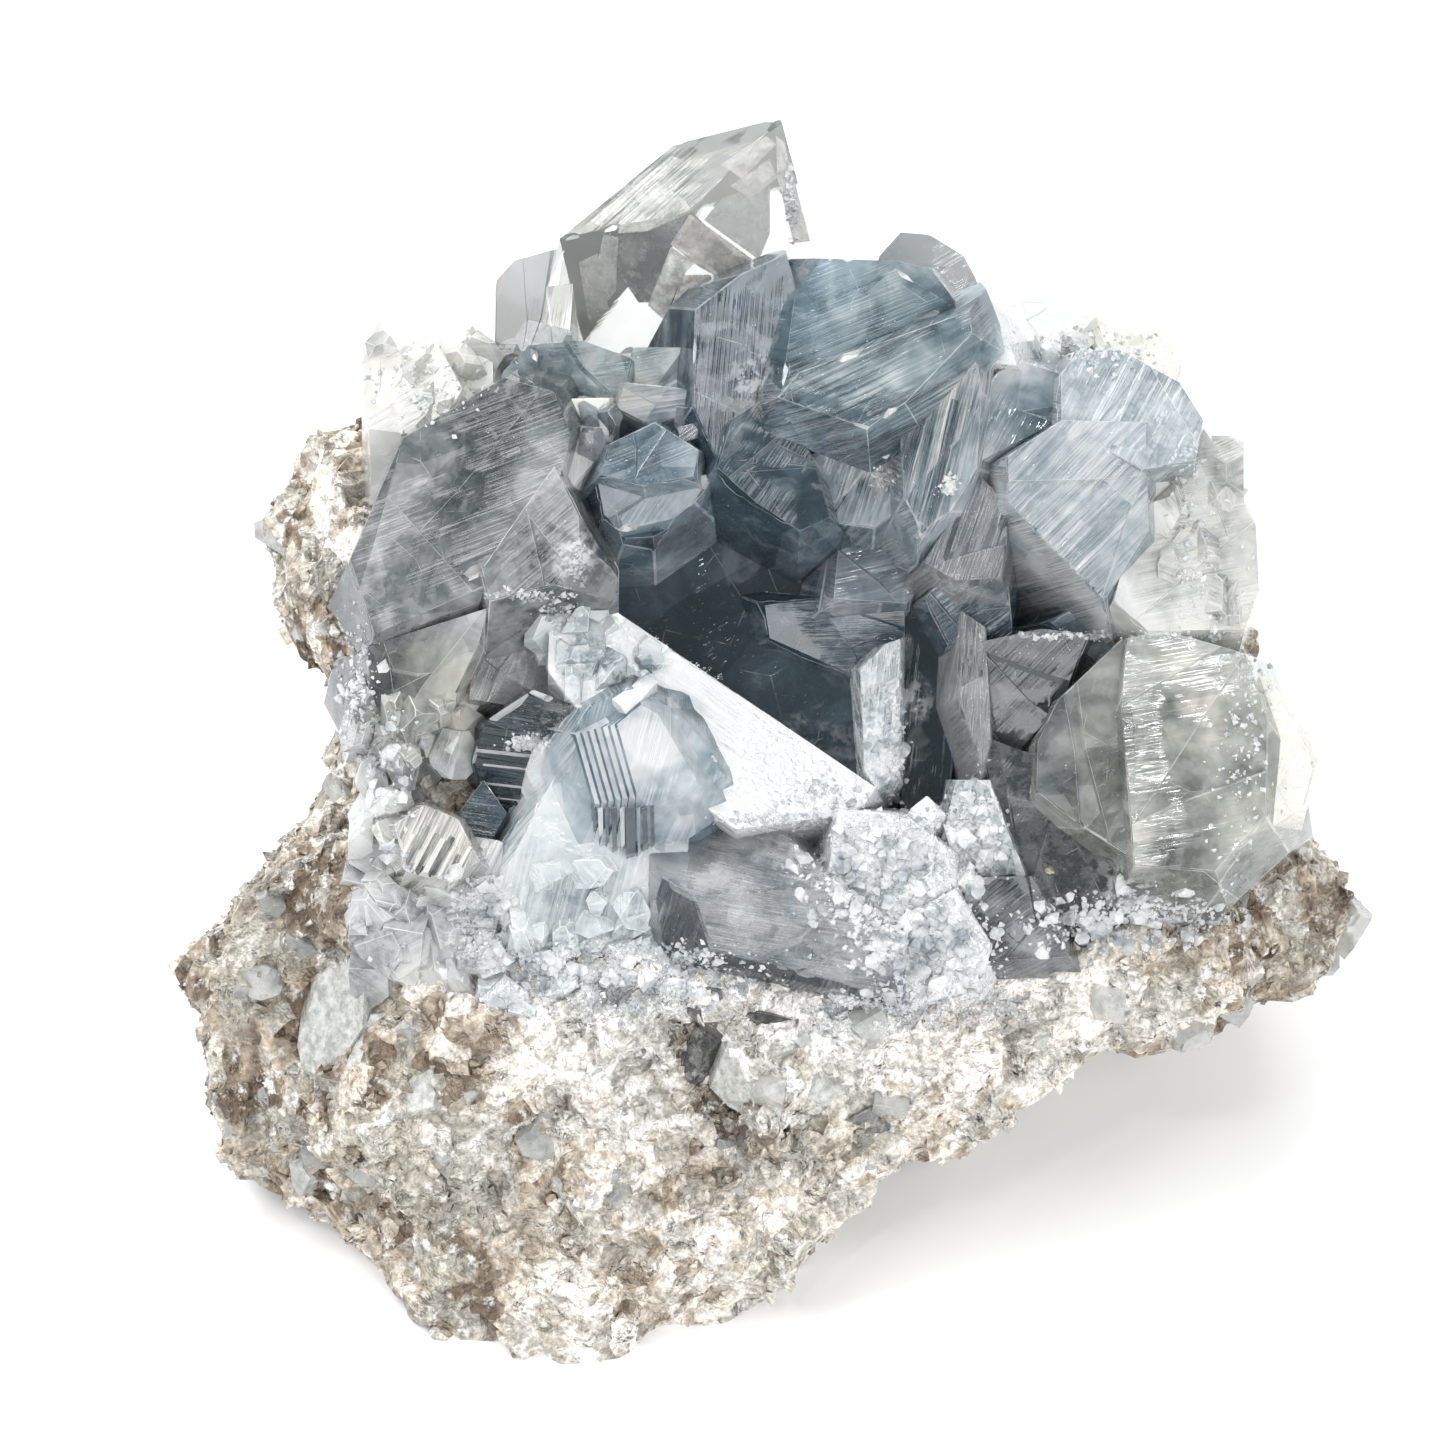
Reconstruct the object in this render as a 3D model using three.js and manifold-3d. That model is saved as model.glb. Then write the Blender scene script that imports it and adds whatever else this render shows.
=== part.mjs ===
// A hand-sized celestite specimen: blue-grey crystals grown together on a lump of their pale granular matrix.
// Millimetres, +Z up, the flat underside of the matrix at Z = 0, the crystal face looking towards -Y and up.
import * as THREE from "three";
import { mergeVertices } from "three/addons/utils/BufferGeometryUtils.js";
import Module from "manifold-3d";

const wasm = await Module();
wasm.setup();

// The crystals are laid out in the frame of the crystal face: x to the right, y up the face, z out of it.
const FACE_LEAN_DEG = 40; // how far the crystal face leans back from facing straight up
const FACE_ORIGIN = [0.4, -0.6, 28]; // where that frame's origin stands in the part
const ROOT_SPREAD = 2.6; // how far past its front corners a crystal's root may spread
const SEAT_GAP = 0.35; // joint between the crystals and the matrix
const MATRIX_SPLITS = 13; // edge splits of the ball that the matrix is shaped from
const RADIANS = Math.PI / 180;

// Outline of the matrix, seen square on to the crystal face, anticlockwise from the right-hand lip.
const OUTLINE_CENTRE = [0, -8];
const MATRIX_OUTLINE = [
  [43.2, -12], [41, -8], [38.4, -3], [38, 2], [35.6, 8], [34, 15], [29, 22], [21, 25.5], [8, 26], [-6, 24],
  [-18, 23.5], [-28.4, 24.4], [-32.4, 21.8], [-35, 15], [-35.4, 9.4], [-34.2, 6.6], [-31.6, 4.6], [-31.6, 0],
  [-33.6, -5], [-38.4, -11.6], [-42.8, -16], [-41.2, -22.5], [-40.6, -31.4], [-33, -35.2], [-24, -43.6],
  [-12, -44.6], [-2.5, -43.6], [3, -37], [8, -32], [15.4, -29.2], [24.6, -23], [34, -21], [40.5, -17.8],
];
// How far out of the face plane the matrix stands: [x, y, z] at points of its front.
const MATRIX_FRONT = [
  [0, 6, -1], [-8, 14, -1], [12, 4, 0], [6, 22, 0], [22, 14, 3], [30, 4, 4], [-20, 10, 4], [-25, 20, 2],
  [-33, 14, 3], [-29, -1, 5], [-36, -17, 1], [-27, -12, 6], [-36, -28, 0], [-27, -26, 5], [-20, -16, 7],
  [-10, -17, 6], [4, -20, 6.5], [-14, -32, 5.5], [-1, -33, 4], [12, -23, 5.5], [22, -18, 6],
  [-22, -40, 1.5], [-8, -41, 2], [34, -15, 7], [40, -10, 2], [36, 0, 2], [0, 26, -4], [28, 20, -1],
];
// How far back the widest line of the matrix lies, at points round its outline.
const MATRIX_RIM = [
  [43, -12, -3], [36, 12, -5], [8, 26, -7], [-30, 25, -5], [-33, 2, -5], [-43, -17, -6],
  [-40, -31, -5], [-20, -44, -1], [-4, -44, -1], [12, -29, -2], [30, -21, -1],
];
const MATRIX_BACK_DEPTH = 40;
const RIM_RELIEF = 0.45; // share of the relief that may move the outline in or out

// Hollows and lumps of the matrix: [x, y, z, radius, height].
const MATRIX_FEATURES = [
  [-31, -5, 2, 4.5, -4.2], [-21, -35, 4, 3.6, -2.6], [-21.5, -29, 6, 3, -1.6], [-38, -14, -2, 5, 1.6],
  [-33, -23, 3, 3, -2.2], [-29, -27, 5, 4, 1.8], [-9, -38, 4, 5, 1.6], [2, -27, 6, 4, 1.4],
  [36, -15, 6, 3.6, -2.4], [31, -19, 5, 4, 1.5], [-34, 10, 1, 4, 1.4], [-33, 6.5, -2, 3, -1.8],
  [10, -8, -28, 9, 2], [-18, 4, -30, 9, -2.2], [22, 2, -22, 8, 2], [-6, 20, -22, 8, -2],
];

// The ways in which roots run back from the front faces.
const UPRIGHT = [0, -0.18, -1];
const FROM_BEHIND = [0.05, -0.75, -0.66];

// The large crystals. A front face is listed anticlockwise by its corners: [x, y, lean in degrees of
// the side that starts there]. z is the height of its middle, and slope is its rise along x and y.
const CRYSTALS = [
  {
    name: "left_blade", z: 12, slope: [0.34, -0.08], depth: 19,
    face: [[-29.8, 13, 24], [-28, 7.6, 30], [-20, 11, 8], [-14.4, 19.4, 6], [-13.8, 22, 20],
      [-15, 25, 24], [-18.5, 26.1, 12], [-26, 21.8, 8]],
  },
  {
    name: "left_front", z: 13.6, slope: [-0.12, 0.12], depth: 18,
    face: [[-19.6, 10, 24], [-15, 11.2, 44], [-13, 14.2, 40], [-13.1, 16, 14], [-15, 19.8, 8],
      [-17.6, 16, 6], [-20.2, 12.4, 12]],
  },
  {
    name: "left_lower", z: 9.6, slope: [0.24, 0.34], depth: 14,
    face: [[-28.6, 6.8, 20], [-28.4, 2.6, 24], [-25, 0.4, 20], [-21.4, 2.8, 8], [-20.4, 7, 8],
      [-19, 9.8, 4]],
  },
  {
    name: "left_nook", z: 7, slope: [-0.24, 0.1], depth: 12,
    face: [[-21.3, 3, 10], [-17, 2.2, 6], [-14.9, 3.4, 6], [-16.6, 9, 6], [-18, 9.8, 8], [-20.8, 7, 8]],
  },
  {
    name: "stripe_prism", z: 8.6, slope: [0.2, 0.5], depth: 13,
    face: [[-20.3, -3.6, 12], [-18.2, -5.4, 6], [-14, 0.4, 6], [-13.6, 2.6, 8], [-16.5, 3.7, 14],
      [-20.2, 1.3, 14], [-21, -1.5, 12]],
  },
  {
    name: "stripe_foot", z: 6.6, slope: [0.3, 0.3], depth: 10,
    face: [[-21.9, -5, 10], [-21.8, -7, 12], [-20.2, -8.4, 10], [-18.5, -5.2, 6], [-20.2, -2.8, 8]],
  },
  {
    name: "white_blade", z: 9.4, slope: [-0.22, -0.34], depth: 15,
    face: [[-17.2, 9.6, 16], [-15.4, 4.8, 10], [-13, 1.8, 6], [-2, -6.4, 8], [7, -5.2, 20],
      [8.2, -3.4, -6], [-12, 10.3, 4]],
  },
  {
    name: "terrace", z: 11.8, slope: [-0.06, 0.1], depth: 16,
    face: [[-13.7, 0.8, 52], [-14.2, -3.5, 50], [-12.5, -5.1, 44], [-5.2, -4.9, 40], [-2.8, -2.4, 24],
      [-3.7, -0.1, 26], [-7.5, 3, 24], [-9.6, 3.9, 22], [-12.4, 2.6, 30]],
  },
  {
    name: "pale_flank", z: 8.8, slope: [0.36, 0.1], depth: 12,
    face: [[-20.2, -9.2, 10], [-14, -10.4, 6], [-8.6, -10, 6], [-9.6, -7, 4], [-13.4, -3.4, 4],
      [-14.2, -0.4, 4], [-15.4, -2, 8]],
  },
  {
    name: "pale_foot", z: 8.2, slope: [0.02, 0.42], depth: 12,
    face: [[-19.2, -9, 20], [-18.8, -13, 18], [-16, -15.4, 16], [-8, -15.2, 10], [-5.4, -13, 8],
      [-6, -8.4, 6]],
  },
  {
    name: "front_prism", z: 10.8, slope: [0.02, 0.34], depth: 15,
    face: [[-6.7, -11, 26], [-6.8, -13.6, 18], [-5, -15.3, 8], [10, -18.9, 12], [10, -14, 16],
      [5.4, -10.4, 58]],
  },
  {
    name: "cavity_wall", z: 3, slope: [0.05, -0.1], depth: 12,
    face: [[-13.4, 8, 4], [6.4, -4.4, 4], [10.4, -2, 4], [11.4, 15, 4], [3, 17.4, 4], [-3, 19.8, 4],
      [-12.4, 18, 4]],
  },
  {
    name: "cavity_step", z: 5.2, slope: [0.1, 0.26], depth: 10,
    face: [[0.4, 7.4, 20], [7.6, 4.2, 12], [10.2, 5, 4], [10.3, 9.9, 10], [5, 10.4, 30], [0, 9.9, 30]],
  },
  {
    name: "cavity_wedge", z: 6.4, slope: [-0.12, -0.3], depth: 11,
    face: [[5, 10.2, 24], [10.4, 9.9, 10], [12, 12, 6], [10.6, 15.4, 6], [5.4, 14.4, 30]],
  },
  {
    name: "crown", z: 15.6, slope: [0.02, -0.38], depth: 24,
    face: [[1.3, 25.2, 64], [14.9, 29.9, 30], [15, 31.2, 30], [13, 33.3, 20], [9.4, 34.3, 12],
      [4, 34.5, 20], [2.2, 31.6, 24]],
    cuts: [[[7, 21.8, 14], [0, -0.96, 0.28]]],
  },
  {
    name: "crown_left", z: 13.2, slope: [0.36, -0.1], depth: 22,
    face: [[-4.9, 31, 16], [-5.1, 24, 20], [-3, 19.4, 12], [-0.5, 19.8, 6], [1.5, 25.2, 4],
      [2.5, 31.8, 6], [1.6, 34.9, 16], [-1.6, 33.5, 20]],
  },
  {
    name: "crown_drop", z: 14, slope: [0.04, 0.36], depth: 18,
    face: [[-2.3, 23, 16], [-3.4, 19.5, 14], [-0.5, 17, 10], [2.6, 15, 10], [4.8, 16, 14],
      [3.7, 19.8, 10], [1.2, 25.2, 6]],
  },
  {
    name: "crown_right", z: 15.2, slope: [-0.28, 0.14], depth: 21,
    face: [[9.6, 23.8, 10], [10, 17.4, 12], [11.3, 15, 12], [13.3, 16.4, 22], [15.2, 19.5, 26],
      [15.5, 25, 24], [14.8, 29.8, 8]],
  },
  {
    name: "crown_under", z: 11.4, slope: [0, 0.34], depth: 16,
    face: [[3.3, 20.4, 8], [4.6, 15.8, 10], [8, 15.3, 8], [10.4, 17, 6], [9.9, 22.6, 6], [6, 22.4, 6]],
  },
  {
    name: "tongue", z: 13, slope: [0.02, -0.34], depth: 16,
    face: [[-11.7, 19, 8], [-8.6, 18.3, 10], [-5, 18.9, 14], [-4.6, 20.8, 14], [-7.8, 22.9, 12],
      [-11, 21.3, 16]],
  },
  {
    name: "tongue_under", z: 11, slope: [0, 0.28], depth: 15,
    face: [[-12, 18.8, 14], [-11.5, 16.2, 18], [-9.8, 14.7, 14], [-6.8, 14.8, 14], [-5, 17.2, 12],
      [-2.6, 19.2, 6]],
  },
  {
    name: "saddle", z: 8.6, slope: [-0.2, -0.08], depth: 15,
    face: [[-15, 20, 8], [-12.8, 15.4, 12], [-11.4, 16.4, 16], [-11.2, 21, 12], [-7.8, 24.8, 14],
      [-14.6, 24.6, 12]],
  },
  {
    name: "nook", z: 9.6, slope: [0.1, 0.3], depth: 16,
    face: [[-11.4, 21.4, 8], [-8, 22.6, 8], [-4.7, 20.9, 8], [-4.4, 24.8, 8], [-6, 25.4, 14],
      [-10, 25.8, 14]],
  },
  {
    name: "shelf_left", z: 8, slope: [0.12, 0.24], depth: 17, root: FROM_BEHIND,
    face: [[-15.7, 25.1, 10], [-10, 24.6, 8], [-9.4, 27.5, 14], [-13, 28.8, 16], [-16.8, 28.7, 18]],
  },
  {
    name: "shelf_right", z: 8, slope: [-0.14, 0.2], depth: 17, root: FROM_BEHIND,
    face: [[-9.2, 25, 8], [-6, 24.6, 8], [-4.6, 28.4, 14], [-9.4, 28.4, 14]],
  },
  {
    name: "fan", z: 15, slope: [-0.16, 0.14], depth: 20,
    face: [[15.4, 19, 14], [17.4, 17, 16], [17.5, 11, 20], [18.6, 8.2, 30], [24.6, 10.2, 22],
      [27.6, 15, 16], [27.3, 22.8, 10], [21.2, 22.9, 12]],
  },
  {
    name: "fan_flank", z: 12.6, slope: [0.32, 0.1], depth: 17,
    face: [[10.5, 11.2, 20], [13.8, 11.4, 16], [16.9, 9.6, 10], [17.5, 17, 6], [15.3, 19.1, 10]],
  },
  {
    name: "fan_root", z: 9.4, slope: [0.12, 0.3], depth: 13,
    face: [[11.6, 10.4, 12], [13.4, 6.9, 10], [18, 7.4, 8], [17.6, 11.4, 8], [13.6, 12.2, 10]],
  },
  {
    name: "right_top", z: 14, slope: [-0.24, -0.3], depth: 20,
    face: [[21.2, 22.6, 14], [27, 19.4, 10], [30.8, 20, 4], [31.5, 23, 2], [29.8, 25.7, 6],
      [25.6, 28, 10], [22.6, 28, 10], [21.2, 26.2, 14]],
  },
  {
    name: "right_block", z: 13, slope: [-0.04, -0.1], depth: 19,
    face: [[15.2, 19.8, 10], [20.9, 22.7, 10], [21.5, 26.3, 16], [18.6, 27.2, 20], [16.8, 26.5, 18],
      [15.2, 25, 10]],
  },
  {
    name: "right_cap", z: 10, slope: [-0.1, -0.4], depth: 18,
    face: [[14.4, 27.4, 12], [18.2, 26.8, 16], [17.6, 28.4, 18], [15.4, 30.6, 20], [13.4, 30.4, 12]],
  },
  {
    name: "shoulder", z: 11, slope: [-0.42, -0.1], depth: 17,
    face: [[27.5, 19.9, 8], [25, 10, 12], [27.5, 7.8, 20], [34.6, 7.9, 2], [35.7, 11, 1],
      [35.5, 15.6, 0], [33, 20.6, 0], [31, 23.5, 2]],
  },
  {
    name: "low_dark", z: 9.4, slope: [0.12, 0.3], depth: 13,
    face: [[15.7, 7.2, 10], [15.6, 0.4, 12], [19.9, -0.2, 8], [21.4, 2.5, 8], [25, 7.2, 8],
      [20, 8.1, 10]],
  },
  {
    name: "low_middle", z: 10.4, slope: [0.12, 0.08], depth: 14,
    face: [[19.6, -3.5, 18], [23.2, -6.3, 14], [26.9, -8.6, 8], [27, 0.6, 6], [24.9, 6.8, 10],
      [21.2, 3, 12], [19.7, 0, 14]],
  },
  {
    name: "low_big", z: 11.6, slope: [-0.14, 0.04], depth: 15,
    face: [[25.6, 3, 14], [26.6, -8.9, 22], [32.5, -9.4, 24], [36.1, -5.4, 20], [36.3, 1.5, 14],
      [34.6, 6.3, 10], [29, 7.5, 10]],
  },
  {
    name: "low_shadow", z: 7, slope: [0.08, 0.34], depth: 11,
    face: [[15.8, -0.6, 10], [17, -6, 14], [21.4, -13.4, 14], [23.4, -15, 14], [28.6, -10.7, 8],
      [25, -5.6, 6], [19.6, -1, 6]],
  },
  {
    name: "right_edge", z: 8, slope: [-0.4, -0.1], depth: 13,
    face: [[34.8, 5, 6], [35.2, -1, 6], [36.3, -6.4, 8], [39.3, -4.5, 2], [40.1, -1.3, 0],
      [39.4, 0.9, 0], [36.6, 4.5, 2]],
  },
  {
    name: "slot_dark", z: 5, slope: [0, 0.04], depth: 9,
    face: [[10, 9.4, 4], [9.7, 0, 4], [10.2, -6.8, 8], [13, -7.6, 4], [13.9, -1, 4], [14.4, 2.6, 4],
      [13.3, 6, 4], [11.4, 9.6, 8]],
  },
  {
    name: "slot_wall", z: 8, slope: [-0.22, 0.08], depth: 11,
    face: [[6.1, 3.4, 26], [6.5, -2.2, 14], [8, -3.6, 14], [9.8, -2.4, 8], [9.9, 6, 16], [8.6, 5.5, 20]],
  },
  {
    name: "slot_post", z: 9.6, slope: [0.12, 0.02], depth: 12,
    face: [[12.6, 6.9, 16], [14, 3, 18], [13.8, -1.3, 16], [15.2, -3.5, 12], [16.4, 0, 6],
      [16, 8.2, 8], [14.2, 9.4, 10]],
  },
  {
    name: "frost_wedge", z: 8.2, slope: [-0.02, 0.26], depth: 11,
    face: [[12.7, -8, 14], [14, -10.2, 12], [18.8, -9.5, 14], [16.2, -2.8, 10], [13.9, -2.8, 10]],
  },
  {
    name: "slot_foot", z: 8.6, slope: [0.04, 0.2], depth: 11,
    face: [[14.4, -12.6, 16], [15.8, -15.9, 16], [22, -15.4, 14], [20.6, -11.8, 12], [19.4, -9.7, 12],
      [14.7, -9.9, 10]],
  },
  {
    name: "sugar_upper", z: 10, slope: [-0.1, 0.2], depth: 13,
    face: [[4.6, -10, 10], [8.8, -14.4, 10], [14, -11.4, 12], [13.7, -8, 14], [10, -5.2, 12],
      [5.4, -4.9, 12]],
  },
  {
    name: "sugar_lower", z: 8.8, slope: [-0.06, 0.26], depth: 12,
    face: [[8.4, -13.6, 12], [9.6, -19.2, 16], [15.4, -17.8, 18], [16.4, -14.6, 14], [13.8, -10.6, 8]],
  },
  {
    name: "silver_fan", z: 9.6, slope: [0.06, -0.3], depth: 11,
    face: [[-26.6, -6, 16], [-25.6, -9.2, 18], [-22.6, -10, 14], [-20.4, -8.6, 12], [-22, -5.6, 12],
      [-24.4, -4.6, 16]],
  },
  {
    name: "back_small", z: 3, slope: [0.1, -0.2], depth: 17, root: FROM_BEHIND,
    face: [[8.4, 35.2, 10], [10, 32, 4], [14, 31.6, 4], [15.5, 33.6, 12], [14.6, 35.3, 16],
      [12.2, 36.8, 14], [10, 37, 14]],
  },
  {
    name: "back_pale", z: 2.4, slope: [-0.1, -0.2], depth: 18, root: FROM_BEHIND,
    face: [[15.6, 33.4, 8], [16.6, 28.8, 8], [21, 27.4, 6], [24.4, 30.8, 6], [22.4, 33.6, 6],
      [18.8, 35.1, 6]],
  },
  {
    name: "back_corner", z: 1, slope: [-0.24, -0.14], depth: 17, root: FROM_BEHIND,
    face: [[24.4, 30.2, 10], [25.6, 26.4, 8], [29.6, 25, 2], [30.6, 27.6, 0], [29.4, 30.6, 4],
      [27, 31.2, 6]],
  },
  {
    name: "left_pale", z: 4.4, slope: [0.16, -0.2], depth: 16, root: FROM_BEHIND,
    face: [[-29.2, 27.4, 4], [-28.6, 22.4, 10], [-23.6, 21.8, 8], [-21.7, 25.4, 12], [-23.4, 28.5, 6],
      [-25.2, 30.5, 6], [-27.8, 31, 4]],
  },
  {
    name: "left_pale_small", z: 2.4, slope: [0, -0.2], depth: 15, root: FROM_BEHIND,
    face: [[-24.6, 28.6, 8], [-22.8, 24.6, 8], [-19.6, 25, 8], [-19.6, 29, 12], [-21.4, 30.5, 14]],
  },
  {
    name: "peak_side", z: 0, slope: [0.3, -0.14], depth: 24, root: FROM_BEHIND,
    face: [[-19.5, 33.7, 10], [-19.6, 27, 8], [-16.4, 26, 4], [-14, 30, 4], [-13.6, 36.4, 6],
      [-18.2, 35.1, 14]],
  },
];
// Growth layers of the stepped crystal: they end along one front edge and step back from the left.
const LAYERS = {
  count: 4, rise: 0.36, step: [0.6, 0.22], depth: 4,
  left: [[-13.4, 0.4, 40], [-12, -4.5, 36]],
  rest: [[-8.4, -4.6, 40], [-6.2, -4.5, 38], [-4.6, -3.1, 30], [-7.6, 2, 30], [-8.8, 2.6, 30]],
};
// The tall crystal at the back: its front, right and cap faces meet at the ridge.
const PEAK = {
  ridge: [-5.2, 38.4, 5.5], apex: [1.3, 45.3, 3.5], left: [-14.8, 36.6, 2.3], right: [3.9, 35.6, 2.5],
  top: [-6.4, 43.4, 0.8], left_low: [-17, 28.2, -3], right_low: [2.6, 29, -4],
  behind: { left: [-12, 33, -14], top: [-9, 36, -12], apex: [-2, 39, -12], right: [3, 32, -12] },
};

// Celestite's axial ratios and the forms of its small crystals: [h, k, l, distance from the middle].
const AXES = [8.36, 5.35, 6.87];
const FORMS = [
  [0, 0, 1, 0.5], [2, 1, 0, 0.62], [0, 1, 1, 0.6], [1, 0, 2, 0.78],
];
// Small crystals: how many, their sizes, and the patch of the face that they stand on.
const DRUSES = [
  { name: "cavity", count: 10, size: [1.6, 2.6], x: [-10, 9], y: [1, 14], z: 2.2, seed: 11 },
  { name: "sugar", count: 22, size: [1.4, 2.8], x: [4, 17], y: [-18, -6], z: 8.6, seed: 5 },
  { name: "left_side", count: 26, size: [1.6, 3.4], x: [-30, -21], y: [-15, 2], z: 6.6, seed: 23 },
  { name: "foot", count: 18, size: [1.6, 3], x: [-21, -3], y: [-19, -13], z: 7, seed: 31 },
  { name: "right_rim", count: 16, size: [1.6, 3.2], x: [27, 34], y: [-10, 16], z: 3.4, seed: 47 },
  { name: "back_rim", count: 20, size: [2, 4], x: [-28, 30], y: [24, 28], z: -3, seed: 59 },
];
// Broken crystal plates and lumps in the wall of the matrix: [x, y, z, size].
const WALL_CHIPS = [
  [-30, -22, 3.4, 5.6], [-26.5, -26, 4, 5.2], [-34.5, -20, 0.4, 5], [-33.5, -27.5, 0.6, 4.6],
  [-4.6, -22.6, 5.6, 3.6], [3, -25.5, 4.6, 4], [-12, -25, 4.6, 4], [-18, -21, 5, 4.2], [-9, -31, 3.4, 4.2],
  [-25, -34, 0.8, 4.4], [-14, -37, 1.6, 4.2], [-2, -36, 1, 4], [20, -21, 1.6, 3.4], [30, -16.5, 4.2, 4],
  [-39, -14.5, -4.6, 3.8], [-34, 13, -2.6, 3.4], [11, -26, 2, 3.6],
];

function seeded(seed) {
  let state = seed >>> 0;
  return () => {
    state = (state + 0x6d2b79f5) >>> 0;
    let t = Math.imul(state ^ (state >>> 15), 1 | state);
    t = (t + Math.imul(t ^ (t >>> 7), 61 | t)) ^ t;
    return ((t ^ (t >>> 14)) >>> 0) / 4294967296;
  };
}

function toSolid(geometry) {
  const bare = geometry.clone();
  bare.deleteAttribute("normal");
  bare.deleteAttribute("uv");
  const merged = mergeVertices(bare, 1e-4);
  const mesh = new wasm.Mesh({
    numProp: 3,
    vertProperties: new Float32Array(merged.attributes.position.array),
    triVerts: new Uint32Array(merged.index.array),
  });
  return new wasm.Manifold(mesh);
}

function toGeometry(solid) {
  const mesh = solid.getMesh();
  const geometry = new THREE.BufferGeometry();
  geometry.setAttribute("position", new THREE.BufferAttribute(mesh.vertProperties, 3));
  geometry.setIndex(new THREE.BufferAttribute(mesh.triVerts, 1));
  return geometry;
}

// A convex crystal: a block cut down by planes. Each plane is [point, outward normal].
function cutByPlanes(middle, planes, grow = 0) {
  const reach = 70;
  const block = new THREE.BoxGeometry(reach, reach, reach).translate(...middle);
  let solid = toSolid(block);
  for (const [point, normal] of planes) {
    const n = new THREE.Vector3(...normal).normalize();
    const distance = n.dot(new THREE.Vector3(...point)) + grow;
    solid = solid.trimByPlane([-n.x, -n.y, -n.z], -distance);
  }
  return solid;
}

// The faces of a crystal given by its front face, the lean of its sides and the direction of its root.
function crystalPlanes({ face, z, slope, depth, root = UPRIGHT, cuts = [] }) {
  const [cx, cy] = faceMiddle(face);
  const corners = face.map(([x, y]) => {
    return new THREE.Vector3(x, y, z + slope[0] * (x - cx) + slope[1] * (y - cy));
  });
  const down = new THREE.Vector3(...root).normalize();
  const foot = new THREE.Vector3(cx, cy, z).addScaledVector(down, depth);
  const planes = [[[cx, cy, z], [-slope[0], -slope[1], 1]], [foot.toArray(), down.toArray()], ...cuts];
  corners.forEach((corner, i) => {
    const along = corners[(i + 1) % corners.length].clone().sub(corner);
    const outward = new THREE.Vector3(along.y, -along.x, 0).normalize();
    const side = down.clone().addScaledVector(outward, Math.tan(face[i][2] * RADIANS));
    const normal = side.cross(along);
    planes.push([corner.toArray(), normal.toArray()]);
    // the roots of neighbouring sides never run far past the corner between them
    const spoke = new THREE.Vector3(corner.x - cx, corner.y - cy, 0).normalize();
    const limit = spoke.clone().addScaledVector(down, -spoke.dot(down)).normalize();
    planes.push([corner.clone().addScaledVector(limit, ROOT_SPREAD).toArray(), limit.toArray()]);
  });
  return { middle: [cx, cy, z], planes };
}

function faceThrough(a, b, c) {
  const [p, q, r] = [a, b, c].map((point) => new THREE.Vector3(...point));
  return [a, q.sub(p).cross(r.sub(p)).toArray()];
}

function peakCrystal() {
  const { ridge, apex, left, right, top, left_low, right_low, behind } = PEAK;
  const middle = new THREE.Vector3(-6, 34, -4);
  const down = new THREE.Vector3(...FROM_BEHIND).normalize();
  const foot = middle.clone().addScaledVector(down, 24);
  const planes = [
    faceThrough(left, left_low, ridge),
    faceThrough(ridge, right, apex),
    faceThrough(left, ridge, apex),
    faceThrough(left, left_low, behind.left),
    faceThrough(left, top, behind.top),
    faceThrough(top, apex, behind.apex),
    faceThrough(apex, right, behind.right),
    faceThrough(right, right_low, behind.right),
    faceThrough(behind.left, behind.top, behind.right),
    [foot.toArray(), down.toArray()],
  ];
  const outward = planes.map(([point, normal]) => {
    const away = new THREE.Vector3(...point).sub(middle).dot(new THREE.Vector3(...normal));
    return [point, normal.map((value) => (away < 0 ? -value : value))];
  });
  return cutByPlanes(middle.toArray(), outward);
}

function faceMiddle(face) {
  return [0, 1].map((axis) => face.reduce((sum, corner) => sum + corner[axis], 0) / face.length);
}

// The growth layers on a crystal's front face.
function growthLayers(crystal) {
  const [bx, by] = faceMiddle(crystal.face);
  return Array.from({ length: LAYERS.count }, (_, k) => {
    const stepped = LAYERS.left.map(([x, y, lean]) => {
      return [x + LAYERS.step[0] * k, y + LAYERS.step[1] * k, lean];
    });
    const face = [...stepped, ...LAYERS.rest];
    const [cx, cy] = faceMiddle(face);
    const onFace = crystal.z + crystal.slope[0] * (cx - bx) + crystal.slope[1] * (cy - by);
    const layer = { face, z: onFace + LAYERS.rise * (k + 1), slope: crystal.slope, depth: LAYERS.depth };
    const { middle, planes } = crystalPlanes(layer);
    return cutByPlanes(middle, planes);
  });
}

// A small crystal with celestite's own faces, turned to stand on its end.
function smallCrystal({ at, size, stretch, turn, grow = 0 }) {
  const rotation = new THREE.Quaternion().setFromEuler(new THREE.Euler(...turn));
  const planes = [];
  for (const [h, k, l, distance] of FORMS) {
    const signs = [h, k, l].map((index) => (index === 0 ? [1] : [1, -1]));
    for (const sh of signs[0]) {
      for (const sk of signs[1]) {
        for (const sl of signs[2]) {
          const normal = new THREE.Vector3((sh * h) / AXES[0], (sk * k) / AXES[1], (sl * l) / AXES[2]);
          normal.normalize();
          const reach = distance * size * (h > 0 && k === 0 ? stretch : 1);
          normal.applyQuaternion(rotation);
          const point = normal.clone().multiplyScalar(reach).add(new THREE.Vector3(...at));
          planes.push([point.toArray(), normal.toArray()]);
        }
      }
    }
  }
  return cutByPlanes(at, planes, grow);
}

function druse({ count, size, x, y, z, seed }) {
  const random = seeded(seed);
  const between = ([low, high]) => low + (high - low) * random();
  return Array.from({ length: count }, () => {
    return smallCrystal({
      at: [between(x), between(y), z + random() * 1.2],
      size: between(size),
      stretch: 1 + random(),
      turn: [random() * 3, random() * 3, random() * 6],
    });
  });
}

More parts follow.
